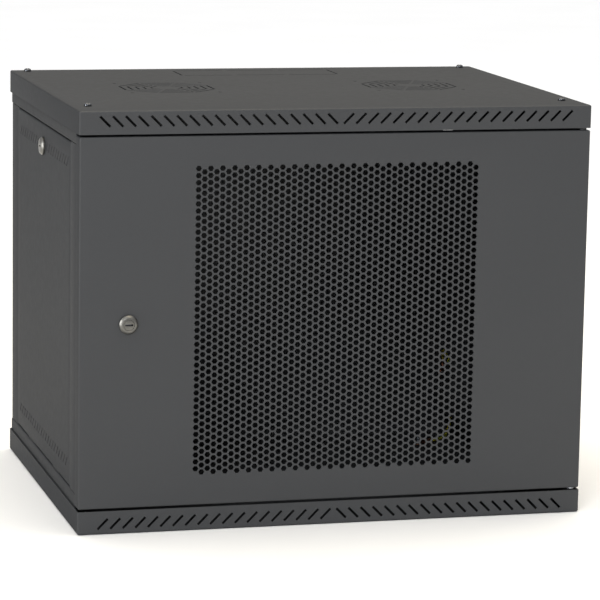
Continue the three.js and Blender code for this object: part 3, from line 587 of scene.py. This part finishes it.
def floor_paint():
    shader = Shader("floor", "", Metallic=0.0)
    pale, paler = (0.93, 0.93, 0.93), (0.95, 0.95, 0.95)
    shader.set("Base Color", shader.ramp(shader.noise(3, 3), (0.3, pale), (0.7, paler)))
    shader.set("Roughness", shader.spread(shader.noise(20, 2), 0.75, 0.85))
    return shader.material


# ---------- trays


def fan_slots(x, y):
    """Straight slots in octagonal rings, parted by a spoke at each corner."""
    half = math.pi / FAN_SIDES
    loops = []
    for r in range(FAN_RINGS):
        near = FAN_FIRST + r * FAN_PITCH - FAN_SLOT / 2
        for s in range(FAN_SIDES):
            turn = Matrix.Rotation(2 * half * s, 2)
            corners = []
            for out, ends in ((near, (-1, 1)), (near + FAN_SLOT, (1, -1))):
                reach = out * math.tan(half) - FAN_SPOKE / 2 / math.cos(half)
                corners += [turn @ Vector((out, end * reach)) for end in ends]
            loops.append([(x + c.x, y + c.y) for c in corners])
    return loops


def fan_holes(x, y):
    return [circle(x + u, y + v, FAN_HOLE_RADIUS, 20) for u, v in square(FAN_HOLE_SPACING / 2)]


def knockout_slits():
    half, front, rear = KNOCKOUT_HALF, KNOCKOUT_FRONT, KNOCKOUT_REAR
    slit, bridge = KNOCKOUT_SLIT / 2, KNOCKOUT_BRIDGE
    loops = [rectangle(x - slit, x + slit, front + bridge, rear - bridge) for x in (-half, half)]
    part = 2 * half / KNOCKOUT_PARTS
    for y in (front, rear):
        for i in range(KNOCKOUT_PARTS):
            start = -half + i * part
            loops.append(rectangle(start + bridge, start + part - bridge, y - slit, y + slit))
    return loops


def tray_holes(stud_holes):
    loops = knockout_slits()
    for side, _ in SIDES:
        loops += fan_slots(side * FAN_X, FAN_Y) + fan_holes(side * FAN_X, FAN_Y)
    return loops + ([circle(x, y, STUD_HOLE, 20) for x, y, _ in CORNERS] if stud_holes else [])


def tray_vents():
    return [slanted_slot(side * (SLOT_FIRST + i * SLOT_PITCH), SLOT_LEVEL, -side, SLOT_WIDTH)
            for side, _ in SIDES for i in range(SLOT_COUNT)]


def tray(node, place, stud_holes):
    low, high = box_mm(node)
    skin = Skin(place)
    holes = tray_holes(stud_holes)
    tray_skin(skin, (low[0], high[0]), (low[1], high[1]), high[2] - low[2], holes, tray_vents())
    return skin


def make_top_cover(paint):
    piece("cover_sheet", tray("top_cover", lambda u, v, w: (u, v, HEIGHT - w), True), paint, ["top_cover"],
          SHEET)


def make_base_tray(paint, zinc):
    piece("base_sheet", tray("base_tray", lambda u, v, w: (u, v, w), False), paint, ["base_tray"], SHEET)
    studs = Skin()
    for x, y, _ in CORNERS:
        studs.turned(stud_profile(STUD_RADIUS, STUD_TOP), 24, (x, y))
    studs.turned(stud_profile(EARTH_STUD, EARTH_STUD_LENGTH), 24, EARTH_BASE)
    piece("base_studs", studs, zinc, ["base_tray"])


# ---------- side frames


def make_rails(paint):
    for side, name in SIDES:
        for upper, node in ((True, f"{name}_top_rail"), (False, f"{name}_bottom_rail")):
            low, high = box_mm(node)
            inner, outer = span_mm(node)
            seat = high[2] if upper else low[2]
            foot = HEIGHT - RAIL_HEIGHT if upper else high[2]
            edge = RAIL_LIP_ACROSS - SHEET if upper else RAIL_LEDGE
            path = [(inner, seat), (outer, seat), (outer, foot), (edge, foot)]
            holes = [circle(STUD_X - inner, y, STUD_RADIUS + STUD_CLEAR, 20) for y, _ in ENDS]
            tabs = [] if upper else [
                rectangle(outer - TAB_SLOT_OUTER + BEND, outer - TAB_SLOT_INNER, y - TAB_SLOT_HALF,
                          y + TAB_SLOT_HALF) for y in TAB_CENTRES]
            skin = lengthways(side)
            profile_skin(skin, path, low[1], high[1], {0: holes, 2: tabs})
            piece(f"{node}_sheet", skin, paint, [node], SHEET)
            if upper:
                make_rail_lip(side, node, foot, paint)


def make_rail_lip(side, node, foot, paint):
    """The lip that the side lock's cam turns up behind."""
    panel_low, panel_high = box_mm(node.replace("top_rail", "side_panel"))
    lip = lengthways(side)
    low, high = panel_low[1] + SHEET + GAP, panel_high[1] - SHEET - GAP
    outline = rectangle(RAIL_LIP_ACROSS - SHEET, RAIL_LIP_ACROSS, HEIGHT - RAIL_LIP_HEIGHT, foot + SHEET / 2)
    lip.plate(outline, (), low, high)
    piece(f"{node}_lip", lip, paint, [node], bevel=0.3)


def keyhole(x, z):
    lean = math.asin(KEYHOLE_SLOT / KEYHOLE_RADIUS)
    return (arc(x, z, KEYHOLE_RADIUS, math.pi / 2 + lean, 2.5 * math.pi - lean, 24)
            + arc(x, z + KEYHOLE_RISE, KEYHOLE_SLOT, 0, math.pi, 12))


def make_front_post(side, node, paint):
    low, high = box_mm(node)
    inner, outer = span_mm(node)
    skin = upright(side)
    path = [(inner, low[1]), (outer, low[1]), (outer, high[1]), (POST_TAIL, high[1])]
    profile_skin(skin, path, low[2], high[2])
    piece(f"{node}_sheet", skin, paint, [node], SHEET)


def make_rear_post(side, node, web, paint):
    """A post whose web is as tall as the front post's, while its rear flange runs on to the trays."""
    low, high = box_mm(node)
    inner, outer = span_mm(node)
    skin = upright(side)
    holes = [keyhole(KEYHOLE_ACROSS - inner, KEYHOLE_LEVEL)]
    holes += [circle(REAR_SCREW_ACROSS - inner, z, REAR_SCREW_HOLE, 20) for z in REAR_SCREW_LEVELS]
    path = [(inner, high[1]), (outer, high[1]), (outer, low[1]), (POST_TAIL, low[1])]
    profile_skin(skin, path, *web, {0: holes})
    piece(f"{node}_sheet", skin, paint, [node], SHEET)
    ends = lengthways(side)
    for v0, v1 in ((low[2], web[0]), (web[1], high[2])):
        ends.plate(rectangle(inner, outer - SHEET / 2, v0, v1), (), high[1] - SHEET, high[1])
    piece(f"{node}_ends", ends, paint, [node])


def make_posts(paint):
    for side, name in SIDES:
        front = f"{name}_front_post"
        make_front_post(side, front, paint)
        make_rear_post(side, f"{name}_rear_post", [corner[2] for corner in box_mm(front)], paint)


def make_post_stud(zinc):
    stud = frontal(box_mm("right_rear_post")[1][1], -1, *EARTH_POST)
    stud.turned(stud_profile(EARTH_STUD, EARTH_STUD_LENGTH + POST_STUD_TIP, POST_STUD_TIP), 24)
    piece("post_stud", stud, zinc, ["right_rear_post"])


def make_rear_panel(paint):
    low, high = box_mm("rear_panel")
    skin = frontal(0, 1)
    holes = [circle(side * REAR_SCREW_ACROSS, z, REAR_SCREW_HOLE, 20)
             for side, _ in SIDES for z in REAR_SCREW_LEVELS]
    skin.plate(rectangle(low[0], high[0], low[2], high[2]), holes, low[1], high[1])
    piece("rear_sheet", skin, paint, ["rear_panel"], bevel=0.25)


# ---------- depth bars and rack rails


def make_depth_bars(paint):
    for side, name in SIDES:
        for level, z in BOLT_LEVELS.items():
            node = f"{name}_{level}_depth_bar"
            low, high = box_mm(node)
            inner, tab = span_mm(node)
            start = BOLT_Y - BAR_SLOT / 2 - low[1]
            slot = round_slot(start, start + BAR_TRAVEL + BAR_SLOT, z, BAR_SLOT)
            skin = upright(side)
            profile_skin(skin, [(tab, low[1]), (inner, low[1]), (inner, high[1]), (tab, high[1])],
                         low[2], high[2], {1: [slot]})
            piece(f"{node}_sheet", skin, paint, [node], BAR_SHEET)


def make_rack_rails(paint):
    for side, name in SIDES:
        node = f"{name}_rack_rail"
        low, high = box_mm(node)
        inner, outer = span_mm(node)
        first = (HEIGHT - UNITS * UNIT) / 2
        across = RACK_HOLE_ACROSS - inner
        half = RACK_HOLE / 2
        squares = [rectangle(across - half, across + half, z - half, z + half)
                   for z in (first + unit * UNIT + height for unit in range(UNITS) for height in UNIT_HOLES)]
        bolts = [circle(RACK_DEPTH / 2, z, BOLT_SHANK + GAP, 24) for z in BOLT_LEVELS.values()]
        skin = upright(side)
        profile_skin(skin, [(inner, low[1]), (outer, low[1]), (outer, high[1])], low[2], high[2],
                     {0: squares, 1: bolts})
        piece(f"{node}_sheet", skin, paint, [node], RACK_SHEET)


# ---------- fasteners


def thread(radius, low, high, pitch=0.8, depth=0.25):
    """The profile of a threaded rod, from low to high."""
    count = max(2, round((high - low) / pitch))
    points = []
    for i in range(count):
        at = low + (high - low) * i / count
        points += [(radius - depth, at), (radius, at + (high - low) / count / 2)]
    return [*points, (radius - depth, high)]


def stud_profile(radius, top, tip=0.6):
    """A threaded stud, from inside its sheet to its tapered tip."""
    root = SHEET / 2
    return [(0, root), (radius, root), *thread(radius, SHEET + THREAD_START, top - tip),
            (radius * THREAD_TIP, top), (0, top)]


def smooth_step(low, high, value):
    share = min(1.0, max(0.0, (value - low) / (high - low)))
    return share * share * (3 - 2 * share)


def inside(size, wall, value):
    """1 within a recess's wall and 0 beyond it."""
    return 1 - smooth_step(size * wall[0], size * wall[1], value)


def cross_recess(x, y, size):
    arms = [inside(size, CROSS_ARM, abs(b)) * inside(size, CROSS_REACH, abs(a)) for a, b in ((x, y), (y, x))]
    return max(arms)


def hex_recess(x, y, size):
    reach = max(abs(x * math.cos(t) + y * math.sin(t)) for t in (0, math.pi / 3, 2 * math.pi / 3))
    return inside(size, HEX_WALL, reach)


def head(skin, radius, dome, recess, size, depth, rings=16, sectors=48, rim=0.3):
    """A round head, from w = 0 up to its dome, with a recess in its top. rim is its edge's share of dome."""
    rows = [[(radius * math.cos(a), radius * math.sin(a), 0) for a in angles_round(sectors)]]
    for i in range(rings + 1):
        r = radius * (1 - i / rings)
        height = dome * (rim + (1 - rim) * math.sqrt(max(0.0, 1 - (r / radius) ** 2)))
        row = [(r * math.cos(a), r * math.sin(a)) for a in angles_round(sectors)]
        rows.append([(x, y, height - depth * recess(x, y, size)) for x, y in row])
    for first, second in zip(rows, rows[1:]):
        skin.strip(first, second, True)
    skin.add(rows[0], [list(range(sectors))])


def make_screw(node, skin, size, dome, tip, metal):
    """A screw with a domed head on w = 0 and a threaded shank down to w = tip."""
    head(skin, size["head"], dome, cross_recess, size["cross"], size["depth"])
    neck, sink = size["neck"], size["sink"]
    skin.turned([(0, tip), *thread(size["shank"], tip + size["point"], -sink), (neck, sink), (0, sink)], 20)
    piece(f"{node}_turned", skin, metal, [node])


# The cover screws' near-black colour is a painted dark reflection, standing in for dark surroundings
# mirrored in their plating.
def make_cover_screws(black_zinc):
    seat = HEIGHT + GAP
    for x, y, corner in CORNERS:
        node = f"{corner}_cover_screw"
        low, high = box_mm(node)
        make_screw(node, standing(x, y, seat), COVER_SCREW, high[2] - seat, low[2] - seat, black_zinc)


def make_rear_screws(zinc):
    seat = box_mm("rear_panel")[0][1] - GAP
    for side, name in SIDES:
        for z, level in zip(REAR_SCREW_LEVELS, ("lower", "upper")):
            node = f"{name}_{level}_rear_panel_screw"
            low, high = box_mm(node)
            skin = frontal(seat, -1, side * REAR_SCREW_ACROSS, z)
            make_screw(node, skin, REAR_SCREW, seat - low[1], seat - high[1], zinc)


def nut_skin(skin, radius, bore, low, high, sides=32):
    """A hexagon nut with a round bore, from w = low to high."""
    skin.plate(circle(0, 0, radius, 6), [circle(0, 0, bore, sides)], low, high)


def make_base_nuts(zinc):
    for x, y, corner in CORNERS:
        node = f"{corner}_base_nut"
        low, high = box_mm(node)
        skin = standing(x, y)
        nut_skin(skin, BASE_NUT, BASE_NUT_BORE, low[2], high[2])
        piece(f"{node}_turned", skin, zinc, [node], bevel=0.35)


def make_rail_bolts(zinc):
    shank = [
        (0, -BOLT_LENGTH), (BOLT_SHANK * THREAD_TIP, -BOLT_LENGTH),
        *thread(BOLT_SHANK, BOLT_POINT - BOLT_LENGTH, -BOLT_PLAIN - THREAD_START),
        (BOLT_SHANK, -BOLT_PLAIN), (BOLT_SHANK, BOLT_SINK), (0, BOLT_SINK)]
    for side, name in SIDES:
        seat = span_mm(f"{name}_rack_rail")[1] - RACK_SHEET - GAP
        for level, z in BOLT_LEVELS.items():
            node = f"{name}_{level}_rail_bolt"
            nut_seat = span_mm(f"{name}_{level}_depth_bar")[0] + BAR_SHEET + GAP
            bolt = sideways(side, seat, -1, BOLT_Y, z)
            head(bolt, BOLT_HEAD, BOLT_HEAD_HEIGHT, hex_recess, BOLT_HEX, BOLT_HEX_DEPTH)
            bolt.turned(shank, 24)
            piece(f"{node}_turned", bolt, zinc, [node])
            nut = sideways(side, 0, 1, BOLT_Y, z)
            nut_skin(nut, BOLT_NUT, BOLT_SHANK - 0.1, nut_seat, nut_seat + BOLT_NUT_HEIGHT)
            piece(f"{node}_nut", nut, zinc, [node], bevel=0.35)


# ---------- door and hinge


def mesh_holes():
    """The door's honeycomb field of hexagonal holes."""
    loops = []
    for column in range(MESH_COLUMNS):
        x = MESH_FIRST_X + column * MESH_STEP
        top = MESH_TOP_Z - (column % 2) * MESH_PITCH / 2
        loops += [hexagon(x, top - row * MESH_PITCH, MESH_HOLE) for row in range(MESH_ROWS)]
    return loops


def make_door(paint):
    low, high = box_mm("door_panel")
    skin = frontal(low[1], 1)
    holes = [circle(DOOR_LOCK["x"], DOOR_LOCK["z"], LOCK_HOLE, 40), *mesh_holes()]
    tray_skin(skin, (low[0], high[0]), (low[2], high[2]), high[1] - low[1], holes)
    piece("door_sheet", skin, paint, ["door_panel"], SHEET)


def grip_profile():
    """The upper pin's grip, with ridges for the fingers, and the collar that its spring pushes on."""
    points = [(0, 0), (GRIP_RADIUS - 0.6, 0)]
    for i in range(GRIP_RIDGES):
        points += [(radius, RIDGE_FIRST + i * RIDGE_PITCH + height) for radius, height in RIDGE]
    return [
        *points, (GRIP_RADIUS, RIDGE_FIRST + GRIP_RIDGES * RIDGE_PITCH), (GRIP_RADIUS, GRIP_TOP - 0.6),
        (GRIP_RADIUS - 0.5, GRIP_TOP), (HINGE_PIN, GRIP_TOP), (HINGE_PIN, COLLAR_LOW),
        (COLLAR_RADIUS, COLLAR_LOW), (COLLAR_RADIUS, COLLAR_HIGH), (HINGE_PIN, COLLAR_HIGH)]


def make_hinge(zinc, spring_steel):
    pins = {
        "lower_hinge_pin": [(0, 0), (PIN_HEAD, 0), (PIN_HEAD, PIN_HEAD_TOP), (HINGE_PIN, PIN_HEAD_TOP)],
        "upper_hinge_pin": grip_profile(),
    }
    for node, profile in pins.items():
        low, high = box_mm(node)
        length = high[2] - low[2]
        skin = standing(HINGE_X, HINGE_Y, low[2])
        tip = [(HINGE_PIN * share, length - below) for share, below in PIN_TIP]
        skin.turned([*profile, *tip, (0, length)], 32)
        piece(f"{node}_turned", skin, zinc, [node])
    low, high = box_mm("hinge_bush")
    bush = standing(HINGE_X, HINGE_Y)
    edge = 0.3
    bush.turned([(HINGE_HOLE, low[2]), (BUSH_RADIUS - edge, low[2]), (BUSH_RADIUS, low[2] + edge),
                 (BUSH_RADIUS, high[2] - edge), (BUSH_RADIUS - edge, high[2]), (HINGE_HOLE, high[2]),
                 (HINGE_HOLE, low[2])], 32)
    piece("bush_turned", bush, zinc, ["hinge_bush"])
    make_spring(spring_steel)


def tube(skin, points, radius, sides):
    """A tube along a row of points, with its ends closed flat."""
    rows, side = [], Vector((1, 0, 0))
    for i, point in enumerate(points):
        ahead = (points[min(i + 1, len(points) - 1)] - points[max(i - 1, 0)]).normalized()
        side = (side - ahead * side.dot(ahead)).normalized()
        up = ahead.cross(side)
        rows.append([tuple(point + (side * math.cos(a) + up * math.sin(a)) * radius)
                     for a in angles_round(sides)])
    for first, second in zip(rows, rows[1:]):
        skin.strip(first, second, True)
    skin.add(rows[0], [list(range(sides))])
    skin.add(rows[-1], [list(range(sides))])


def make_spring(spring_steel):
    low, high = box_mm("hinge_pin_spring")
    bottom, top = low[2] + SPRING_WIRE, high[2] - SPRING_WIRE
    steps = SPRING_ROUNDS * SPRING_STEPS
    points = []
    for i in range(steps + 1):
        angle = i / steps * SPRING_ROUNDS * 2 * math.pi
        points.append(Vector((HINGE_X + SPRING_RADIUS * math.cos(angle),
                              HINGE_Y + SPRING_RADIUS * math.sin(angle),
                              bottom + (top - bottom) * i / steps)))
    skin = Skin()
    tube(skin, points, SPRING_WIRE, 12)
    obj = piece("pin_spring_coil", skin, spring_steel, ["hinge_pin_spring"])
    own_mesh(obj)


# ---------- locks


def lock_piece(name, suffix, skin, metal, bevel=0):
    piece(f"{name}_{suffix}_fine", skin, metal, [f"{name}_{suffix}"], bevel=bevel)


def make_lock_housing(name, place, barrel, nickel):
    """The threaded barrel and the bevelled head, with eased edges and the plug's bore."""
    housing = Skin(place)
    housing.turned([
        (LOCK_BORE, -barrel), (LOCK_BARREL - 0.6, -barrel),
        *thread(LOCK_BARREL, 0.8 - barrel, -0.6, 1, 0.4), (LOCK_BARREL - 0.3, GAP),
        (LOCK_HEAD - 0.3, GAP), (LOCK_HEAD, GAP + 0.3), (LOCK_HEAD, LOCK_RIM - 0.25),
        (LOCK_HEAD - 0.22, LOCK_RIM), (LOCK_FACE + 0.25, LOCK_PROUD - 0.2), (LOCK_FACE - 0.15, LOCK_PROUD),
        (LOCK_BORE + 0.1, LOCK_PROUD), (LOCK_BORE, LOCK_PROUD - 0.1), (LOCK_BORE, -barrel)], 64)
    lock_piece(name, "housing", housing, nickel)


def make_lock_plug(name, place, barrel, key_turn, nickel, black_zinc):
    """The plug's bright face with its key slot, and the core behind it with its square tail, near black so
    that the shallow slot's floor is painted shade.
    """
    top = LOCK_PROUD - PLUG_SUNK
    floor, tail = top - KEY_DEPTH, -barrel - GAP
    plug = Skin(place)
    key = rectangle(-KEY_LENGTH / 2, KEY_LENGTH / 2, -KEY_WIDTH / 2, KEY_WIDTH / 2)
    plug.plate(circle(0, 0, LOCK_PLUG, 64), [turned_outline(key, key_turn)], floor, top)
    lock_piece(name, "plug", plug, nickel, 0.1)
    core = Skin(place)
    core.plate(circle(0, 0, LOCK_PLUG - 0.01, 64), (), tail, floor + 0.05)
    core.plate(square(LOCK_TAIL / 2), (), tail - LOCK_TAIL_LENGTH, tail + 0.5)
    piece(f"{name}_plug_core", core, black_zinc, [f"{name}_plug"], bevel=0.2)


def make_lock_cam(name, place, barrel, reach, cam_turn, zinc):
    cam = Skin(place)
    top, tip = -barrel - 2 * GAP, reach - CAM_WIDTH / 2
    outline = (arc(0, 0, CAM_ROOT, math.pi / 3, 5 * math.pi / 3, 20)
               + arc(tip, 0, CAM_WIDTH / 2, -math.pi / 2, math.pi / 2, 16))
    cam.plate(turned_outline(outline, cam_turn), [square(LOCK_TAIL / 2 + 0.2)], top - CAM_THICKNESS, top)
    lock_piece(name, "cam", cam, zinc, 0.3)


def make_lock(name, place, lock, key_turn, cam_turn, metals):
    """A cam lock. lock holds its barrel's length and its cam's reach."""
    nickel, zinc, black_zinc = metals
    make_lock_housing(name, place, lock["barrel"], nickel)
    make_lock_plug(name, place, lock["barrel"], key_turn, nickel, black_zinc)
    make_lock_cam(name, place, lock["barrel"], lock["cam"], cam_turn, zinc)
    nut = Skin(place)
    nut_top = -SHEET - GAP
    nut_skin(nut, LOCK_NUT_RADIUS, LOCK_NUT_BORE, nut_top - LOCK_NUT_HEIGHT, nut_top, 48)
    lock_piece(name, "nut", nut, zinc, 0.4)


def make_locks(*metals):
    x, z = DOOR_LOCK["x"], DOOR_LOCK["z"]
    make_lock("door_lock", lambda u, v, w: (x + u, FRONT - w, z + v), DOOR_LOCK, 0, -math.pi / 2, metals)
    for side, name in SIDES:
        face = span_mm(f"{name}_front_post")[1]
        make_lock(f"{name}_lock",
                  lambda u, v, w, side=side, face=face: (
                      side * (face + w), SIDE_LOCK["y"] + v, SIDE_LOCK["z"] - side * u),
                  SIDE_LOCK, math.pi / 2, math.pi / 2, metals)


# ---------- side panels


def panel_vents():
    loops = []
    for z in VENT_LEVELS:
        for i in range(VENT_COUNT):
            y = VENT_Y + (i - (VENT_COUNT - 1) / 2) * VENT_PITCH
            if z == VENT_LEVELS[0] or abs(y - SIDE_LOCK["y"]) >= VENT_CLEAR:
                loops.append(slanted_slot(y, z, -1, PANEL_SLOT_WIDTH))
    return loops


def make_side_panels(paint):
    for side, name in SIDES:
        node = f"{name}_side_panel"
        low, high = box_mm(node)
        outer = span_mm(node)[1]
        skin = sideways(side, outer, -1)
        holes = [*panel_vents(), circle(SIDE_LOCK["y"], SIDE_LOCK["z"], LOCK_HOLE, 40)]
        tray_skin(skin, (low[1], high[1]), (PANEL_BOTTOM, high[2]), PANEL_FOLD, holes)
        piece(f"{node}_sheet", skin, paint, [node], SHEET)
        tabs = sideways(side, 0, 1)
        for y in TAB_CENTRES:
            tabs.plate(rectangle(y - TAB_HALF, y + TAB_HALF, TAB_LOW, TAB_HIGH), (), TAB_INNER, TAB_OUTER)
        piece(f"{node}_tabs", tabs, paint, [node], bevel=0.3)


# ---------- earth bond


def catmull_rom(points, steps):
    """A smooth row of points through the given ones."""
    given = [Vector(p) for p in points]
    row = [2 * given[0] - given[1], *given, 2 * given[-1] - given[-2]]
    made = []
    for a, b, c, d in zip(row, row[1:], row[2:], row[3:]):
        for i in range(steps):
            t = i / steps
            made.append(0.5 * (2 * b + (c - a) * t + (2 * a - 5 * b + 4 * c - d) * t * t
                               + (3 * b - a - 3 * c + d) * t * t * t))
    return [*made, given[-1]]


def make_wire(sheath):
    points = catmull_rom(WIRE_ROUTE, WIRE_STEPS)
    skin = Skin()
    tube(skin, points, WIRE_RADIUS, WIRE_SIDES)
    obj = piece("earth_wire_sheath", skin, sheath, ["earth_wire"])
    lay_out_stripe(obj, points)


def lay_out_stripe(obj, points):
    """The wire's UV map: once round it in U, and along it in V."""
    layout = obj.data.uv_layers.new(name="UVMap")
    lengths = [0.0]
    for a, b in zip(points, points[1:]):
        lengths.append(lengths[-1] + (b - a).length)
    for poly in obj.data.polygons:
        for corner in poly.loop_indices:
            at = obj.data.vertices[obj.data.loops[corner].vertex_index].index
            row, around = divmod(at, WIRE_SIDES)
            middle = poly.vertices[0] % WIRE_SIDES
            turn = around + (WIRE_SIDES if around == 0 and middle > WIRE_SIDES / 2 else 0)
            along = lengths[min(row, len(points) - 1)] / STRIPE_TURN
            layout.data[corner].uv = (turn / WIRE_SIDES, along)


def lug_barrel():
    """A lug's barrel, pinched at its middle to grip the wire."""
    start, mouth = LUG_TONGUE - LUG_OVERLAP, LUG_BARREL - 0.2
    profile = [(LUG_BORE, start), (mouth, start)]
    for i in range(LUG_STEPS + 1):
        at = start + LUG_CHAMFER + i * (LUG_END - start - 2 * LUG_CHAMFER) / LUG_STEPS
        pinch = max(0, 1 - abs(i - LUG_STEPS / 2) / 3)
        profile.append((LUG_BARREL - LUG_CRIMP * pinch, at))
    return [*profile, (mouth, LUG_END), (LUG_BORE, LUG_END), (LUG_BORE, start)]


def make_lug(name, place, copper):
    skin = Skin(place)
    outline = arc(0, 0, LUG_RING, math.pi / 4, 7 * math.pi / 4, 28)
    outline += [(LUG_TONGUE, -LUG_BARREL), (LUG_TONGUE, LUG_BARREL)]
    skin.plate(outline, [circle(0, 0, LUG_HOLE, 32)], 0, LUG_PLATE)
    piece(f"{name}_plate", skin, copper, [name], bevel=0.15)
    barrel = Skin(lambda u, v, w: place(w, u, LUG_BARREL + v))
    barrel.turned(lug_barrel(), 32)
    piece(f"{name}_barrel", barrel, copper, [name])


def make_earth_bond(sheath, copper, zinc):
    make_wire(sheath)
    turn = Matrix.Rotation(EARTH_TURN, 2)
    seat = SHEET + GAP

    def on_base(u, v, w):
        a, b = turn @ Vector((u, v))
        return EARTH_BASE[0] + a, EARTH_BASE[1] + b, seat + w

    flange = box_mm("right_rear_post")[1][1] - SHEET - GAP
    make_lug("base_earth_lug", on_base, copper)
    make_lug("post_earth_lug", lambda u, v, w: (EARTH_POST[0] - v, flange - w, EARTH_POST[1] + u), copper)
    for node, nut, axis in (("base_earth_nut", standing(*EARTH_BASE), 2),
                            ("post_earth_nut", frontal(0, 1, *EARTH_POST), 1)):
        low, high = box_mm(node)
        nut_skin(nut, EARTH_NUT, EARTH_NUT_BORE, low[axis], high[axis])
        piece(f"{node}_fine", nut, zinc, [node], bevel=0.3)


# ---------- CAD nodes that stay


def finish_nodes(paint):
    """The hinge's brackets and guide keep their CAD shape, with eased edges."""
    for node in ("upper_hinge_bracket", "lower_hinge_bracket", "pin_guide"):
        obj = frame["nodes"][node]
        edge = obj.modifiers.new("edges", "BEVEL")
        edge.width = 0.25 * MM
        edge.segments = 2
        edge.limit_method = "ANGLE"
        for slot in obj.material_slots:
            slot.material = paint


# ---------- studio


def area_light(name, place, size, power, color):
    data = bpy.data.lights.new(name, "AREA")
    data.shape = "RECTANGLE"
    data.size, data.size_y = size
    data.energy = power
    data.color = color
    light = bpy.data.objects.new(name, data)
    light.location = place
    light.rotation_euler = (Vector(LIGHT_TARGET) - Vector(place)).to_track_quat("-Z", "Y").to_euler()
    bpy.context.scene.collection.objects.link(light)
    return light


def make_studio():
    bpy.ops.mesh.primitive_plane_add(size=FLOOR_SIZE, location=(0, 0, CAD_BOX[0].z - FLOOR_DROP))
    floor = bpy.context.object
    floor.name = "floor"
    floor.data.materials.append(floor_paint())
    make_world()
    lights = {name: area_light(name, *values) for name, values in LIGHTS.items()}
    lights["edge"].visible_diffuse = False  # it only glints on the folds and the locks
    bpy.context.scene.view_settings.view_transform = "Standard"


def make_world():
    """A soft white sky, brighter overhead than at the horizon."""
    world = bpy.data.worlds.new("studio")
    world.use_nodes = True
    tree = world.node_tree
    height = tree.nodes.new("ShaderNodeSeparateXYZ")
    tree.links.new(tree.nodes.new("ShaderNodeTexCoord").outputs["Generated"], height.inputs[0])
    sky = tree.nodes.new("ShaderNodeMapRange")
    tree.links.new(height.outputs["Z"], sky.inputs["Value"])
    sky.inputs["To Min"].default_value = HORIZON
    sky.inputs["To Max"].default_value = ZENITH
    background = tree.nodes["Background"]
    background.inputs["Color"].default_value = (1, 1, 1, 1)
    tree.links.new(sky.outputs["Result"], background.inputs["Strength"])
    bpy.context.scene.world = world


def main():
    make_camera()
    paint = powder_coat("powder_coat_satin")
    zinc = plated("zinc", (0.42, 0.45, 0.50), (0.60, 0.63, 0.68), (0.22, 0.38))
    nickel = plated("nickel", (0.14, 0.137, 0.127), (0.18, 0.177, 0.165), (0.34, 0.44), (8, 60, 60))
    # near-black metal: its dark colour paints in the dark reflections on the cover screws and the shade at
    # the bottom of the locks' key slots
    black_zinc = plated("black_zinc", (0.055, 0.058, 0.066), (0.10, 0.105, 0.115), (0.16, 0.26))
    spring_steel = plated("spring_steel", (0.30, 0.30, 0.31), (0.42, 0.42, 0.43), (0.25, 0.4))
    copper = plated("copper", (0.50, 0.22, 0.13), (0.66, 0.31, 0.19), (0.25, 0.42))
    sheath = insulation("earth_sheath")
    make_earth_bond(sheath, copper, zinc)
    make_top_cover(paint)
    make_base_tray(paint, zinc)
    make_rails(paint)
    make_posts(paint)
    make_post_stud(zinc)
    make_rear_panel(paint)
    make_depth_bars(paint)
    make_rack_rails(paint)
    make_cover_screws(black_zinc)
    make_rear_screws(zinc)
    make_base_nuts(zinc)
    make_rail_bolts(zinc)
    make_door(paint)
    make_hinge(zinc, spring_steel)
    make_locks(nickel, zinc, black_zinc)
    make_side_panels(paint)
    finish_nodes(paint)
    make_studio()


main()
